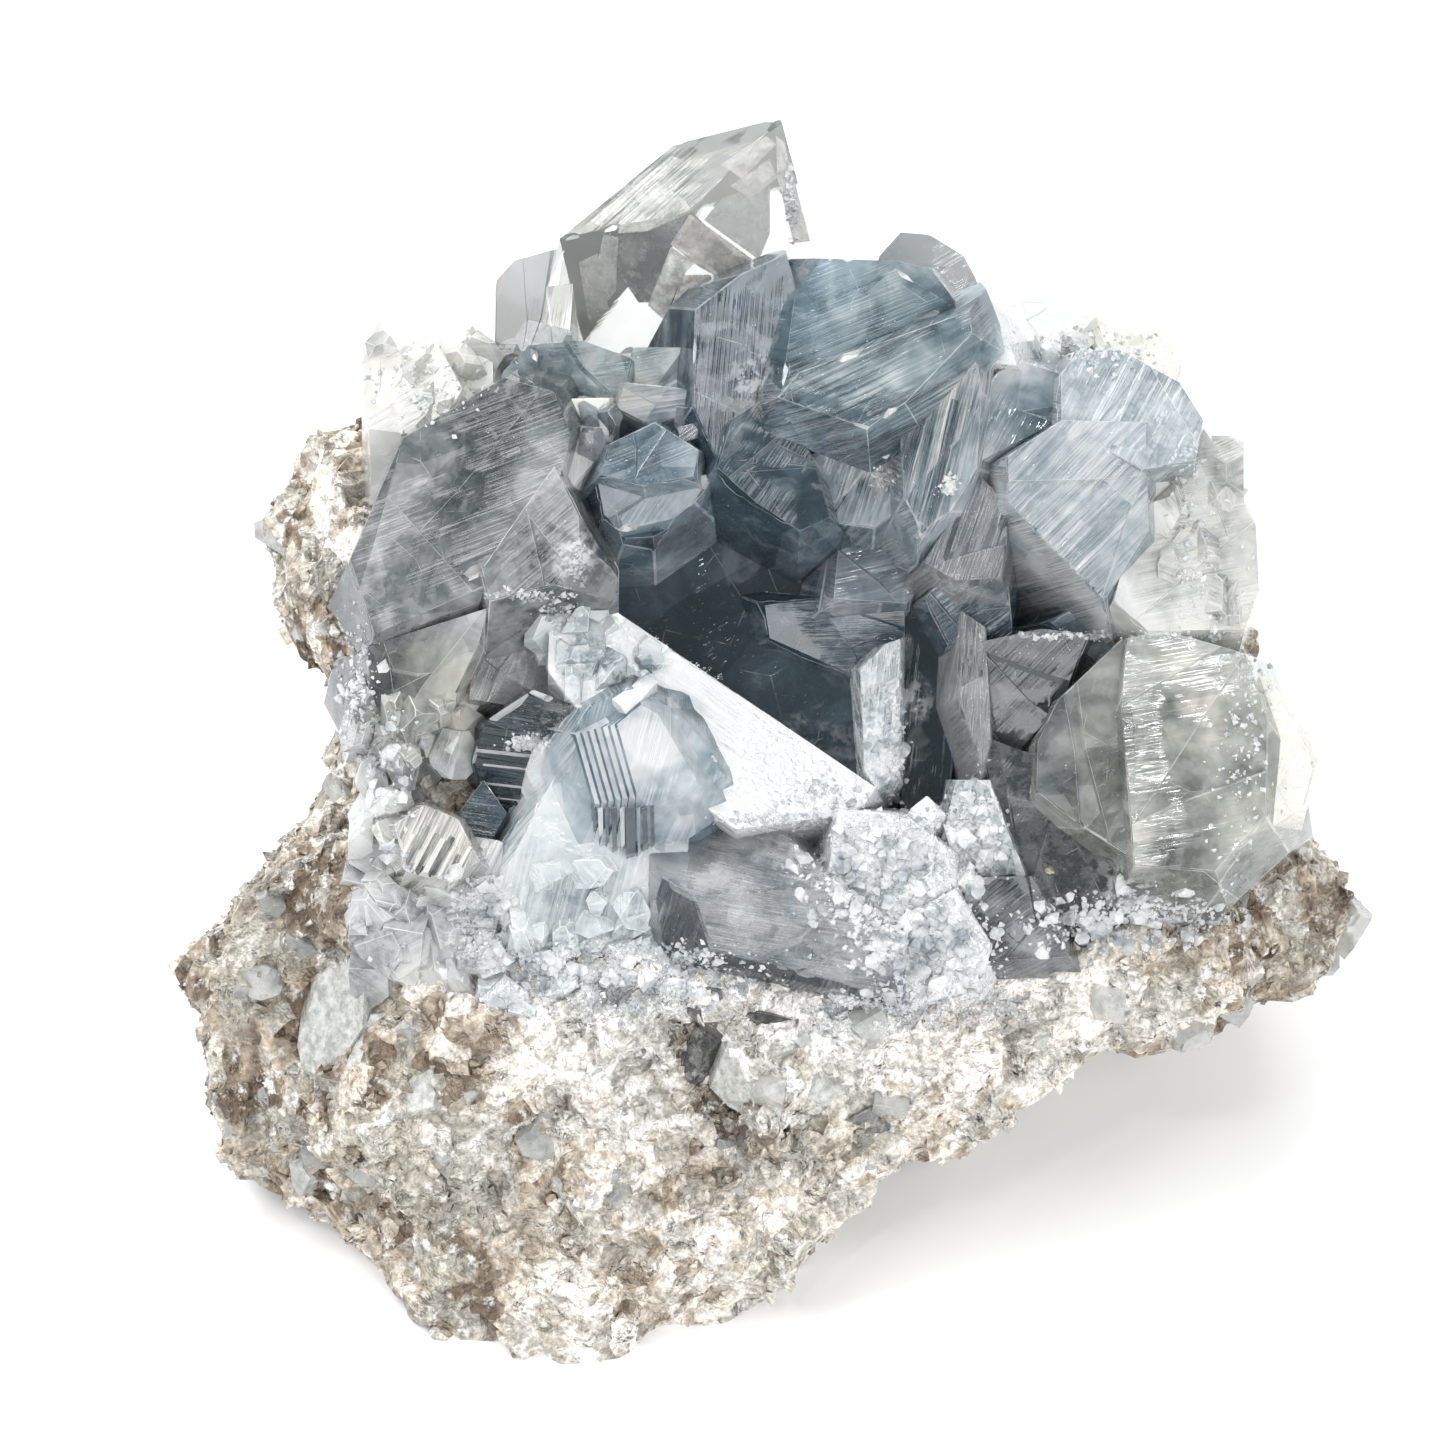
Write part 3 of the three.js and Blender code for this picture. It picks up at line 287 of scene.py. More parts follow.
# Patches of small crystals: how many, their sizes, their place, their seed, and their look as group,
# darkness and frost. Some are sunk lower than the part's own. The extra ones stand on what has grown
# by then, up to a height.
DRUSES = [
    dict(count=22, size=(1.4, 2.8), x=(4, 17), y=(-18, -6), z=8.6, lower=1.5, seed=5,
         look=("pale", 0.15, 0.55)),
    dict(count=26, size=(1.6, 3.4), x=(-30, -21), y=(-15, 2), z=6.6, lower=1.7, seed=23,
         look=("grey", 0.25, 0.45)),
    dict(count=18, size=(1.6, 3), x=(-21, -3), y=(-19, -13), z=7, lower=1.8, seed=31,
         look=("pale", 0.50, 0.40)),
    dict(count=16, size=(1.6, 3.2), x=(27, 34), y=(-10, 16), z=3.4, seed=47, look=("pale", 0.20, 0.50)),
    dict(count=20, size=(2, 4), x=(-28, 30), y=(24, 28), z=-3, seed=59, look=("pale", 0.40, 0.40)),
]
EXTRA_DRUSES = [
    dict(count=30, size=(1.2, 3.2), x=(17, 29), y=(23, 30), seed=71, highest=6.5, look=("pale", 0.10, 0.30)),
    dict(count=18, size=(1.4, 3), x=(-28, -18), y=(22, 28.4), seed=79, highest=6.5,
         look=("grey", 0.40, 0.25)),
    dict(count=18, size=(1, 2.2), x=(-14, -3), y=(20.4, 24.6), seed=101, highest=11,
         look=("smoky", 0.45, 0.1)),
    dict(count=16, size=(1.4, 3.4), x=(-16, -7), y=(3, 9.4), seed=103, highest=13, sunk=0.4,
         look=("pale", 0.30, 0.30)),
    dict(count=16, size=(1.6, 3.6), x=(-18, -8.6), y=(-15, -8.6), seed=107, highest=11, sunk=0.42,
         look=("pale", 0.55, 0.35)),
    dict(count=16, size=(1.6, 3.8), x=(27, 34.4), y=(8.6, 22), seed=109, highest=13, sunk=0.42,
         look=("grey", 0.25, 0.25)),
    dict(count=10, size=(1.6, 3.2), x=(-26.6, -22.2), y=(-4.8, -1), seed=131, highest=9, sunk=0.4,
         look=("grey", 0.66, 0.1)),
    dict(count=50, size=(1.8, 4.6), x=(-28.4, -20.4), y=(-16.5, -7.4), seed=127, highest=9, sunk=0.5,
         look=("grey", 0.42, 0.30)),
    dict(count=10, size=(1.6, 3.2), x=(-29, -21), y=(-1, 3.6), seed=113, highest=13, sunk=0.42,
         look=("grey", 0.50, 0.20)),
]

# Wear: the share of corners that is nicked and how deep, the width of worn edges, and the number,
# sizes and lowest place of the bites out of them.
NICKED = 0.45
NICK_DEPTH = 0.35
SHALLOWEST_NICK = 0.12
WORN_EDGE = 0.12
FINE_EDGE = 0.02
EDGE_BITES = 14
BITE_SIZES = (0.2, 0.9)
BITTEN_DEPTH = 9
# Growth steps and ridges: their usual number, the lean of their sides and how deep they go down.
USUAL_STEPS = 3
STEP_LEAN = 52
STEP_DEPTH = 12
RIDGE_LEAN = 20
RIDGE_DEPTH = 1.2
CRACK_CORNERS = 7
GROWTH_SEED = 3

# The looks: for each crystal its group, how dark and how frosted it is, and the direction and
# strength of its growth lines.
LOOKS = {
    "left_blade": ("grey", 0.75, 0.05, 24, 0.07), "left_front": ("grey", 0.78, 0.15, 40, 0.14),
    "left_lower": ("grey", 0.67, 0.05, 20, 0.10), "left_nook": ("smoky", 0.58, 0.00, 66, 0.16),
    "stripe_prism": ("dark", 1.12, 0.00, -8, 0.80), "stripe_foot": ("dark", 0.81, 0.00, -4, 0.70),
    # The white blade is painted white partly as its own frost and partly as a painted glare.
    "white_blade": ("pale", -0.30, 0.30, -36, 0.38), "terrace": ("blue", 0.49, 0.05, 76, 0.20),
    "pale_flank": ("blue", 0.90, 0.00, 52, 1.20), "pale_foot": ("pale", 0.70, 0.20, 80, 0.60),
    "front_prism": ("smoky", 0.36, 0.10, -10, 0.50), "cavity_wall": ("dark", 0.83, 0.00, 30, 0.08),
    "cavity_step": ("dark", 0.59, 0.00, 4, 0.35), "cavity_wedge": ("dark", 0.23, 0.00, 10, 0.35),
    "crown": ("blue", 0.77, 0.00, 20, 0.20), "crown_left": ("blue", 0.95, 0.00, 84, 0.15),
    "crown_drop": ("dark", 0.61, 0.00, 60, 0.10), "crown_right": ("blue", 0.38, 0.05, 76, 1.00),
    "crown_under": ("blue", 0.59, 0.10, 76, 0.80), "tongue": ("blue", 0.59, 0.10, 20, 0.18),
    # The saddle is painted lighter against the shade its neighbours cast on it.
    "tongue_under": ("blue", 0.69, 0.05, 60, 0.14), "saddle": ("pale", 0.15, 0.30, 84, 0.50),
    "nook": ("dark", 0.16, 0.00, 10, 0.30), "shelf_left": ("blue", 0.74, 0.15, 10, 0.22),
    "shelf_right": ("blue", 0.49, 0.20, 10, 0.25), "fan": ("blue", 0.21, 0.10, 46, 0.80),
    "fan_flank": ("smoky", 0.46, 0.10, 74, 1.80), "fan_root": ("dark", 0.53, 0.00, 40, 0.80),
    "right_top": ("pale", 0.80, 0.15, 56, 0.80), "right_block": ("blue", 0.35, 0.05, 60, 0.20),
    "right_cap": ("pale", -0.40, 0.50, 50, 0.50), "shoulder": ("grey", 0.24, 0.20, 6, 0.26),
    "low_dark": ("grey", 1.03, 0.00, 50, 0.06), "low_middle": ("grey", 0.57, 0.05, 30, 0.05),
    "low_big": ("grey", 0.62, 0.10, 8, 0.14), "low_shadow": ("grey", 1.04, 0.10, 60, 0.06),
    # The right edge is painted lighter against its shade, as it faces away from the lamps.
    "right_edge": ("pale", -0.20, 0.50, 60, 0.30), "slot_dark": ("dark", 1.15, 0.00, 84, 0.50),
    "slot_wall": ("pale", 0.77, 0.60, 86, 2.00), "slot_post": ("smoky", 0.08, 0.10, 86, 1.60),
    "frost_wedge": ("pale", 0.96, 0.50, 80, 0.80), "slot_foot": ("smoky", 1.05, 0.00, 40, 0.50),
    "sugar_upper": ("pale", 0.46, 0.60, 10, 0.20), "sugar_lower": ("pale", -0.50, 0.90, 10, 0.20),
    "silver_fan": ("grey", 0.48, 0.05, 62, 2.40), "back_small": ("clear", -0.05, 0.25, 30, 0.30),
    "back_pale": ("pale", -0.25, 0.40, 30, 0.30), "back_corner": ("pale", -0.15, 0.40, 30, 0.30),
    "left_pale": ("grey", 0.12, 0.25, 30, 0.30), "left_pale_small": ("pale", -0.05, 0.30, 30, 0.30),
    "peak_side": ("clear", -0.05, 0.10, 80, 0.15), "fan_wedge": ("blue", 0.45, 0.05, 30, 0.30),
    "block_wedge": ("blue", 0.56, 0.05, 60, 0.30),
}
PEAK_LOOK = ("clear", 0.0, 0.02, 40, 0.04)
# Where a bite was taken out: darkness, frost, direction and strength of the lines.
BROKEN_LOOK = (0.05, 0.55, 0, 0.0)
# Worn edges are lighter and more frosted than the faces beside them: partly real wear, partly a painted
# highlight along the edges.
EDGE_WEAR_AND_HIGHLIGHT = 0.26
EDGE_FROST_AND_HIGHLIGHT = 0.25
# The row of a face's look among its crystal's three.
FRONT, WORN_AND_HIGHLIT, SIDE = 0, 1, 2
# Crystals without growth steps on their front.
SMOOTH = {
    "cavity_wall", "crown", "terrace", "stripe_prism", "slot_dark", "silver_fan", "sugar_upper",
    "sugar_lower", "frost_wedge",
}
# Crystals with more steps on their front than the usual three.
ROUGHER = {
    "pale_foot": 9, "pale_flank": 5, "left_lower": 5, "white_blade": 5, "shoulder": 6, "low_big": 4,
    "front_prism": 7, "left_front": 5, "back_pale": 8, "back_corner": 8, "left_pale": 6,
}
# Sides that look unlike the front: their direction, how closely they face it, and their look. Two are
# painted light.
SIDES = {
    "terrace": ((-1, 0, 0), 0.4, (0.48, 0.05, 55, 1.8)),
    "front_prism": ((-0.3, -0.7, 0.6), 0.89, (1.0, 0, 84, 1.2)),
    # The crown's right side and the fan's lower left side are painted lighter than their fronts, against the
    # shade they lie in.
    "crown": ((1, 0, 0), 0.4, (0.25, 0.3, 76, 0.8)), "fan": ((-0.5, -0.8, 0), 0.5, (0.0, 0.3, 46, 1)),
    "stripe_prism": ((0, 1, 0.2), 0.5, (0.8, 0, -8, 0.6)),
    "pale_foot": ((-0.81, 0.42, 0.4), 0.85, (0.78, 0.05, 62, 2)),
}
# Ridges on front faces: crystal, direction, middle, half the reach across, length, count, width,
# rise and the darkness of each in turn.
RIDGES = [
    ("fan", 44, (18, 14), 7, 22, 22, 0.32, 0.07, (0.26, 0.44, 0.36, 0.30)),
    ("fan_flank", 72, (13.4, 9.5), 3, 12, 10, 0.3, 0.09, (0.2, 0.6, 0.35, 0.7)),
    ("crown_right", 78, (13.6, 19), 3, 16, 6, 0.4, 0.07, (0.55, 0.75, 0.6)),
    ("stripe_prism", -6, (-17.2, -2.4), 2.0, 8, 4, 0.16, 0.05, (0.05, 0.15)),
    ("silver_fan", 62, (-24, -8.6), 2.2, 5, 9, 0.25, 0.13, (0.05, 1.1)),
    ("slot_wall", 86, (10.4, -1), 2, 12, 8, 0.2, 0.09, (0.1, 0.9)),
    ("slot_dark", 86, (14, -3), 1.5, 14, 5, 0.12, 0.05, (0.75, 0.9)),
    ("slot_post", 86, (14.9, 3), 1.3, 12, 5, 0.16, 0.06, (0.2, 0.6)),
    ("right_top", 50, (25.5, 21), 4, 12, 12, 0.25, 0.06, (0.5, 0.9)),
    ("left_blade", 24, (-22, 17), 7, 16, 5, 0.4, 0.03, (0.85, 0.7)),
    ("pale_foot", 62, (-16.6, -7.4), 1.7, 9, 11, 0.14, 0.07, (0.3, 0.75, 0.5)),
]
# Planes inside the tall crystal: how light they are, how deep they lie, and their corners.
PEAK_PLANES = [
    (0.72, 0.5, [(-10.5, 37), (-8.4, 37.1), (-5.2, 38.4), (-5.6, 39.2), (-7.6, 40.6), (-9.8, 39)]),
    (0.0, 1.0, [(-10.4, 36.9), (-5.3, 38.3), (-6.5, 36.1), (-8.1, 32.2), (-9, 32.2), (-10.5, 34.4)]),
    (0.85, -0.04, [(-5.3, 38.2), (-0.4, 34.7), (-1.6, 32.7), (-5, 34.7), (-6.7, 36.1)]),
    (0.95, -0.04, [(-6.7, 35.9), (-5, 34.7), (-5.9, 33.8), (-7.2, 30.7), (-8.4, 31.8)]),
    (0.85, -0.04, [(-5.9, 33.9), (-3.9, 33.9), (-2.7, 32.7), (-4.5, 31), (-5.5, 28.1), (-8.7, 28.4),
                 (-7, 30.7)]),
    (0.1, 0.4, [(-6.7, 34.1), (-5.5, 34.4), (-7, 31), (-7.6, 31.9)]),
    (0.3, 0.9, [(-4.4, 37.8), (-3, 39.5), (0.4, 40.7), (0.4, 36.9), (-0.4, 35)]),
    (1.0, 0.4, [(-11.6, 36.9), (-10.5, 36.7), (-10.7, 32.9), (-11.3, 32.2), (-12.1, 34.4)]),
    (0.9, 0.4, [(-3, 41.8), (0.2, 44), (0.9, 43.4), (-1.6, 40.8)]),
    (0.8, 0.5, [(-2.4, 40.3), (0.4, 42.3), (1, 41), (-1, 39.4)]),
    (0.95, 0.5, [(-13.4, 35), (-12.6, 30.4), (-11.2, 31.6), (-12, 35.6)]),
    (1.0, 0.3, [(1.1, 43.2), (1.7, 41.6), (2.7, 38.3), (2.2, 38), (1.2, 41)]),
    (0.95, 0.3, [(-12.6, 37.8), (-6.6, 42.6), (-5.8, 42.3), (-11.8, 37.4)]),
    (0.85, 0.4, [(0.9, 44), (1.5, 43.6), (3.4, 36.4), (2.2, 36.2), (1, 41)]),
]
# Crystals with scattered cracks: count, sizes, facing and seed.
CRACKS = [
    ("front_prism", 34, (0.5, 2.6), (0.1, 0.4, 0.9), 137), ("terrace", 10, (0.5, 2), (0.2, 0.3, 0.9), 139),
    ("white_blade", 26, (0.6, 2.8), (0.5, 0.6, 0.6), 141), ("low_big", 26, (0.8, 3.2), (0.3, 0.2, 0.9), 149),
    ("left_blade", 14, (0.8, 3), (-0.4, 0.5, 0.8), 151), ("fan", 14, (0.6, 2.6), (0.5, 0.5, 0.7), 157),
    ("shoulder", 26, (0.6, 3), (0.5, 0.2, 0.8), 163), ("crown", 8, (0.6, 2.4), (0.2, 0.6, 0.7), 167),
    ("right_top", 18, (0.5, 2.4), (0.5, 0.5, 0.7), 173),
    ("left_front", 18, (0.5, 2.2), (-0.2, 0.5, 0.8), 179),
    ("pale_foot", 36, (0.5, 2.6), (0.1, 0.5, 0.8), 181),
    ("low_middle", 14, (0.5, 2.6), (0.2, 0.5, 0.8), 191),
    ("pale_flank", 18, (0.5, 2.2), (0.1, 0.5, 0.8), 193),
    ("stripe_prism", 5, (0.5, 1.4), (0.1, 0.5, 0.8), 197),
    ("left_lower", 18, (0.5, 2.4), (-0.2, 0.5, 0.8), 199),
    ("low_shadow", 12, (0.5, 2.2), (0.2, 0.4, 0.9), 211),
    ("crown_left", 12, (0.5, 2), (-0.3, 0.4, 0.9), 223), ("tongue", 6, (0.5, 1.6), (0, 0.5, 0.8), 227),
    ("back_pale", 22, (0.6, 2.6), (0.2, 0.3, 0.9), 239), ("back_corner", 14, (0.6, 2), (0.2, 0.3, 0.9), 241),
    ("left_pale", 10, (0.6, 2), (0.2, 0.3, 0.9), 251),
    ("right_block", 8, (0.5, 2), (0.3, 0.4, 0.8), 229), ("fan_flank", 8, (0.5, 2), (0.1, 0.2, 0.9), 233),
]
# Dark and light bands down the front of the stepped crystal: left edge, width, low end and tone.
TERRACE_BANDS = [
    (-12.3, 0.3, -6.4, 0.9), (-11.9, 0.4, -6.8, 0.25), (-11.4, 0.3, -7.3, 0.95),
    (-10.9, 0.35, -7.8, 1.0), (-10.3, 0.35, -7.6, 0.2), (-9.9, 0.7, -8.2, 0.85),
    (-9.1, 0.25, -8.0, 0.2), (-8.7, 0.35, -7.6, 0.8), (-8.1, 0.25, -7.2, 0.7),
]
# Sugary patches on the crystals and at their feet: middle, half extents and number of grains.
SUGAR = [
    ((8.6, -9.4), (4.4, 3.8), 2000), ((11.6, -14.6), (4.2, 2.8), 1700), ((9.4, -0.5), (0.8, 4), 260),
    ((-17, -0.1), (1.3, 0.5), 240), ((-12, -15.8), (8.5, 1.2), 1500), ((-27.6, -2), (2, 5), 200),
    ((-20.5, -13), (2, 3.2), 400), ((27, -13), (7, 2), 800), ((8.6, 19), (0.9, 0.7), 120),
    ((13.2, 18.2), (0.7, 0.7), 70), ((-29.4, 4), (1.3, 5), 200), ((34.6, 1), (2.4, 11), 260),
    ((15.2, -6.4), (1.8, 2.8), 700), ((1.2, -5.6), (4, 0.5), 160), ((-13.4, 12.6), (0.4, 1.4), 60),
    ((24, 28.4), (6, 2), 200), ((-24, 26), (5, 3), 160), ((2, 39.6), (0.5, 3), 120),
    ((-10, -18.4), (9, 2), 1500), ((9, -19.6), (5, 1.4), 1200), ((16, -19), (4, 2), 400),
    ((-14.6, 9), (1.4, 1), 120), ((26, 7.6), (9, 0.3), 160), ((-17, 10.4), (3, 0.4), 90),
    ((4, -3.6), (3, 1.2), 120), ((31, 13), (1.6, 7), 160),
]
# The same for the larger grains there.
LUMPS = [
    ((8.6, -9.4), (4.6, 4.2), 240), ((11.6, -14.6), (4.4, 3.2), 240), ((-27.4, -4), (2, 6), 40),
    ((-11, -16.8), (9, 1.6), 170), ((-20, -12), (2, 2.4), 60), ((9, -0.6), (1.2, 3.8), 40),
    ((15.4, -7), (2, 3.2), 60), ((26, -13), (7, 2), 110), ((-30, 3), (1.4, 6), 20),
]
# Spots on the crystals: place, radius, change of darkness, and frost.
SPOTS = [
    (-14.6, 7.4, 10, 3.4, 0.9, 0), (-11, 6.4, 10, 2, 0.6, 0), (-8.4, 4.8, 9.6, 2.2, 0.9, 0.2),
    (-5, 2.6, 9.4, 1.8, 0.6, 0),
    # The first two spots here whiten the blade's right end, partly as a painted glare.
    (2, -2, 9, 6, -0.3, 0.9), (6, -5, 9, 4, -0.3, 0.9), (-12, 7, 9, 4, 0.35, 0.1),
    (12, -9, 9, 4.5, -0.3, 0.8), (8, -14, 9, 4, -0.2, 0.8), (4, -11, 11, 2.5, -0.2, 0.7),
    (-17, -1.2, 10, 1.3, -0.5, 1.0), (-9, -1, 14, 3, -0.25, 0.1), (-7, -10, 9, 3, -0.25, 0.3),
    (-13.5, 13, 13, 2, -0.4, 0.9), (8.5, 19, 12, 1.6, -0.6, 1.0), (13, 18.4, 12, 1.5, -0.4, 0.9),
    (10.8, 3, 6, 2, -0.5, 0.9), (9.4, -1, 6, 1.5, -0.5, 0.9), (29, 8, 8, 4, -0.3, 0.4),
    (32, -6, 6, 4, -0.3, 0.4), (26, -11, 8, 3, 0.1, 0.6), (18, 28, 12, 3, -0.4, 0.5),
    (-26, 10, 10, 4, -0.12, 0.1), (-20, 17, 12, 6, 0.12, 0), (-1, 26, 14, 2.5, -0.1, 0.5),
    (-14, 6, 10, 3, 0.5, 0.2), (-9.6, 4.6, 10, 2, 0.35, 0.3), (-15, 1, 10, 2, 0.3, 0.4),
    (20, 17, 12, 4, -0.2, 0.2), (23, -3, 9, 5, -0.1, 0.0), (14, 12, 10, 2.5, -0.2, 0.5),
]
# Lighter and darker places of the matrix: place, radius and how much lighter. Some paint shade into hollows.
ROCK_SHADES = [
    (-38, -16, 2, 8, -0.13), (-21, -24, 5, 7, -0.16), (-11, -22, 6, 8, 0.24), (-11, -38, 3, 10, 0.22),
    (3, -25, 5, 6, -0.15), (17, -23, 5, 9, 0.26), (-33, 12, 2, 8, 0.17), (-31, -4, 2, 5, -0.08),
    (-20, -37, 3, 5, -0.06), (-32, -33, 2, 6, 0.03), (-31, -27, 4, 6, -0.08), (8, -19, 6, 7, 0.20),
    # Painted shade: these three spots darken the groove low on the left, and the first spot on the next line
    # a hole further up on the left.
    (-22.4, -33, 5, 2.4, -0.2), (-21.6, -36.5, 4, 2.4, -0.22), (-21.4, -39.5, 3, 2.2, -0.2),
    (-30.6, -10.8, 4, 2, -0.3), (-32, -29, 3, 3, 0.12),
    (-29, -18, 5, 4, 0.12), (-16, -31, 5, 4, -0.08), (-2, -34, 4, 5, 0.10), (26, -19, 5, 4, 0.1),
]
# Flat broken crystals in the matrix: how light they are, and their corners.
WALL_PLATES = [
    (0.8, [(-4.85, -24.9), (-4.26, -26.2), (0.69, -26.1), (0.2, -22.8), (-0.25, -21.7), (-2.73, -21.6)]),
    (0.05, [(-6.6, -23.7), (-5.1, -24.5), (-2.73, -20.7), (-4.5, -20.9)]),
    (0.6, [(0, -20.4), (0.33, -22.8), (2.1, -22.2), (2.8, -21.5), (2.7, -20.4)]),
    (0.2, [(-4.9, -17.6), (-4.7, -19), (-3.2, -19.9), (-3.1, -18)]),
    (0.1, [(-1.9, -19.5), (0, -20.3), (2.3, -20.7), (2.4, -20.2), (0, -19.7)]),
    (0.85, [(10.3, -24.9), (10.9, -26.5), (12.2, -25.8), (12.5, -23.9), (11.1, -23.7)]),
    (0.25, [(6.3, -27.4), (8.6, -28.2), (9.4, -28), (8.2, -26.4)]),
    (0.7, [(3, -25.4), (4.5, -26.6), (6.2, -25.6), (5.8, -23.4), (3.8, -23.2)]),
    (0.3, [(-13.8, -18.2), (-12.8, -18.6), (-11.4, -18), (-12.4, -17.5)]),
    (0.7, [(-34.6, -23.9), (-31.5, -24.5), (-29.1, -20.8), (-28.8, -15.3), (-32.1, -16.5)]),
    (0.75, [(-30.6, -24.5), (-27.9, -28.1), (-24.2, -26.3), (-23.6, -23.2), (-25.4, -19.6), (-28.5, -19.9)]),
]
# Places where the crystals are greener and less blue, with their radius and strength.
GREENER = [
    (31, -1, 8, 11, 1), (26, -9, 7, 7, 1), (37, 0, 5, 6, 1), (31, 15, 8, 8, 0.6), (-24.6, 3.6, 8, 5, 1),
    (27, 28, 0, 5, 1), (-25, 27, 3, 6, 0.6), (-22, 19, 10, 8, 0.2), (-24, -7, 8, 4, 0.6),
    (8, 28, 15, 8, 0.55), (-12, 27, 8, 5, 0.8),
]

# The rock's leaning facets: their spread and middle, then for each size of facet the number, the
# seed, how much they lean and how much they rise.
CELL_SPREAD = 48
CELL_MIDDLE = (0, -8, -14)
ROCK_CELLS = [(260, 7, 0.2, 1), (2600, 19, 0.3, 0.55)]
FINE_CELLS = (40000, 29, 0.36, 0.22)

# Grains: their sizes, how deep they are sunk and their forms. No rock grain sits lower than
# NEAR_UNDERSIDE, in metres.
SUGAR_GRAINS = dict(sizes=(0.07, 0.34), seed=14, sunk=0.5, forms=FORMS[1:3])
SUGAR_LUMPS = dict(sizes=(0.3, 1.1), seed=16, sunk=0.6, forms=FORMS)
ROCK_GRAINS = dict(sizes=(0.15, 0.7), seed=12, sunk=0.3, forms=FORMS[1:3])
CLEAR_GRAINS = dict(sizes=(1.0, 3.2), seed=8, sunk=0.95, forms=FORMS)
GRAIN_KINDS = 6
NEAR_UNDERSIDE = 0.0015

# Tones of the crystals, from the lightest at 0 to the darkest at 1.
BLUE_TONES = [
    (0.0, (0.94, 0.95, 0.96)), (0.25, (0.63, 0.70, 0.745)), (0.5, (0.34, 0.43, 0.485)),
    (0.75, (0.145, 0.215, 0.266)), (1.0, (0.045, 0.075, 0.10)),
]
GREY_TONES = [
    (0.0, (0.95, 0.95, 0.95)), (0.25, (0.70, 0.715, 0.72)), (0.5, (0.41, 0.43, 0.438)),
    (0.75, (0.197, 0.218, 0.228)), (1.0, (0.062, 0.076, 0.084)),
]
DARK_TONES = [
    (0.0, (0.89, 0.91, 0.94)), (0.25, (0.39, 0.46, 0.52)), (0.5, (0.130, 0.192, 0.24)),
    (0.75, (0.050, 0.087, 0.112)), (1.0, (0.020, 0.044, 0.057)),
]
SMOKY_TONES = [
    (0.0, (0.94, 0.95, 0.96)), (0.3, (0.72, 0.75, 0.78)), (0.6, (0.385, 0.43, 0.475)),
    (1.0, (0.05, 0.072, 0.095)),
]
PALE_TONES = [(0.0, (0.96, 0.97, 0.97)), (0.5, (0.68, 0.74, 0.76)), (1.0, (0.28, 0.34, 0.37))]
CLEAR_TONES = [(0.0, (0.97, 0.97, 0.96)), (0.5, (0.84, 0.84, 0.82)), (1.0, (0.42, 0.43, 0.44))]
# For each group: the material, its tones, transmission and roughness, and the colour and density of
# what it absorbs, where it isn't cloudy.
# The crystals deep in the cavity have the dark group and several at the rim the pale one: beside their own
# colour, this paints the shade deep in the cluster and the light coming through at its rim.
CRYSTAL_FINISHES = {
    "clear": ("clear_celestite", CLEAR_TONES, 0.86, 0.02, (0.80, 0.825, 0.82), 80),
    "smoky": ("smoky_celestite", SMOKY_TONES, 0.75, 0.02, (0.42, 0.46, 0.52), 40),
    "blue": ("cloudy_celestite", BLUE_TONES, 0.55, 0.03, (0.45, 0.60, 0.68), 30),
    "dark": ("dark_celestite", DARK_TONES, 0.6, 0.02, (0.35, 0.48, 0.55), 420),
    "pale": ("pale_celestite", PALE_TONES, 0.35, 0.04),
    "grey": ("grey_celestite", GREY_TONES, 0.5, 0.03),
}
CELESTITE_IOR = 1.62
FROST_WHITE = (0.93, 0.945, 0.95)
GREEN_TINT = (1.045, 1.01, 0.90)
# How far from a crystal's middle a spot may lie and still reach it.
SPOT_MARGIN = 6
GREEN_MARGIN = 9
# How much the clouds darken and lighten a crystal, the scale of its healed cracks and the tones of
# the scattered ones, and how far the lines of neighbouring crystals are shifted.
CLOUDS = 0.42
DARK_CLOUDS = 0.2
CRACK_SCALE = 0.23
COMMON_CRACK = 0.7
BRIGHT_CRACK = 0.95
LINES_APART = 3.7
# Plates and grains: tones, and for the grains low, middle and high tones with the transmission.
# The light tones of the cracks are partly their own milky white and partly a painted reflection off the
# crack planes.
CRACK_TONES = [
    (0.0, (0.07, 0.07, 0.075)), (0.35, (0.30, 0.31, 0.30)), (0.7, (0.70, 0.72, 0.70)),
    (0.85, (0.84, 0.79, 0.75)), (1.0, (0.92, 0.92, 0.90)),
]
PLATE_TONES = [
    (0.0, (0.03, 0.03, 0.032)), (0.3, (0.20, 0.205, 0.20)), (0.6, (0.52, 0.535, 0.49)),
    (1.0, (0.88, 0.88, 0.84)),
]
PLATE_DUST = (0.72, 0.72, 0.69)
SUGAR_FINISH = ((0.52, 0.56, 0.59), (0.84, 0.86, 0.87), (0.96, 0.96, 0.96), 0.45)
LUMP_FINISH = ((0.46, 0.50, 0.53), (0.80, 0.82, 0.83), (0.96, 0.96, 0.96), 0.4)
CLEAR_GRAIN_FINISH = ((0.50, 0.53, 0.52), (0.72, 0.73, 0.70), (0.90, 0.90, 0.88), 0.6)

# The rock's finish.
ROCK_IOR = 1.6
ROCK_TONES = [
    (0.31, (0.15, 0.115, 0.083)), (0.42, (0.37, 0.315, 0.25)), (0.52, (0.61, 0.565, 0.495)),
    (0.64, (0.90, 0.885, 0.86)),
]
DIRT = (0.27, 0.225, 0.17)
GREENISH_ROCK = (0.49, 0.495, 0.45)
GLASSY_BIT = (0.45, 0.435, 0.39)
WARM_TINT = (1.02, 0.975, 0.925)
WHITEST_PLACE = (-2, -19, 6)
FACET_WARP = 0.0022

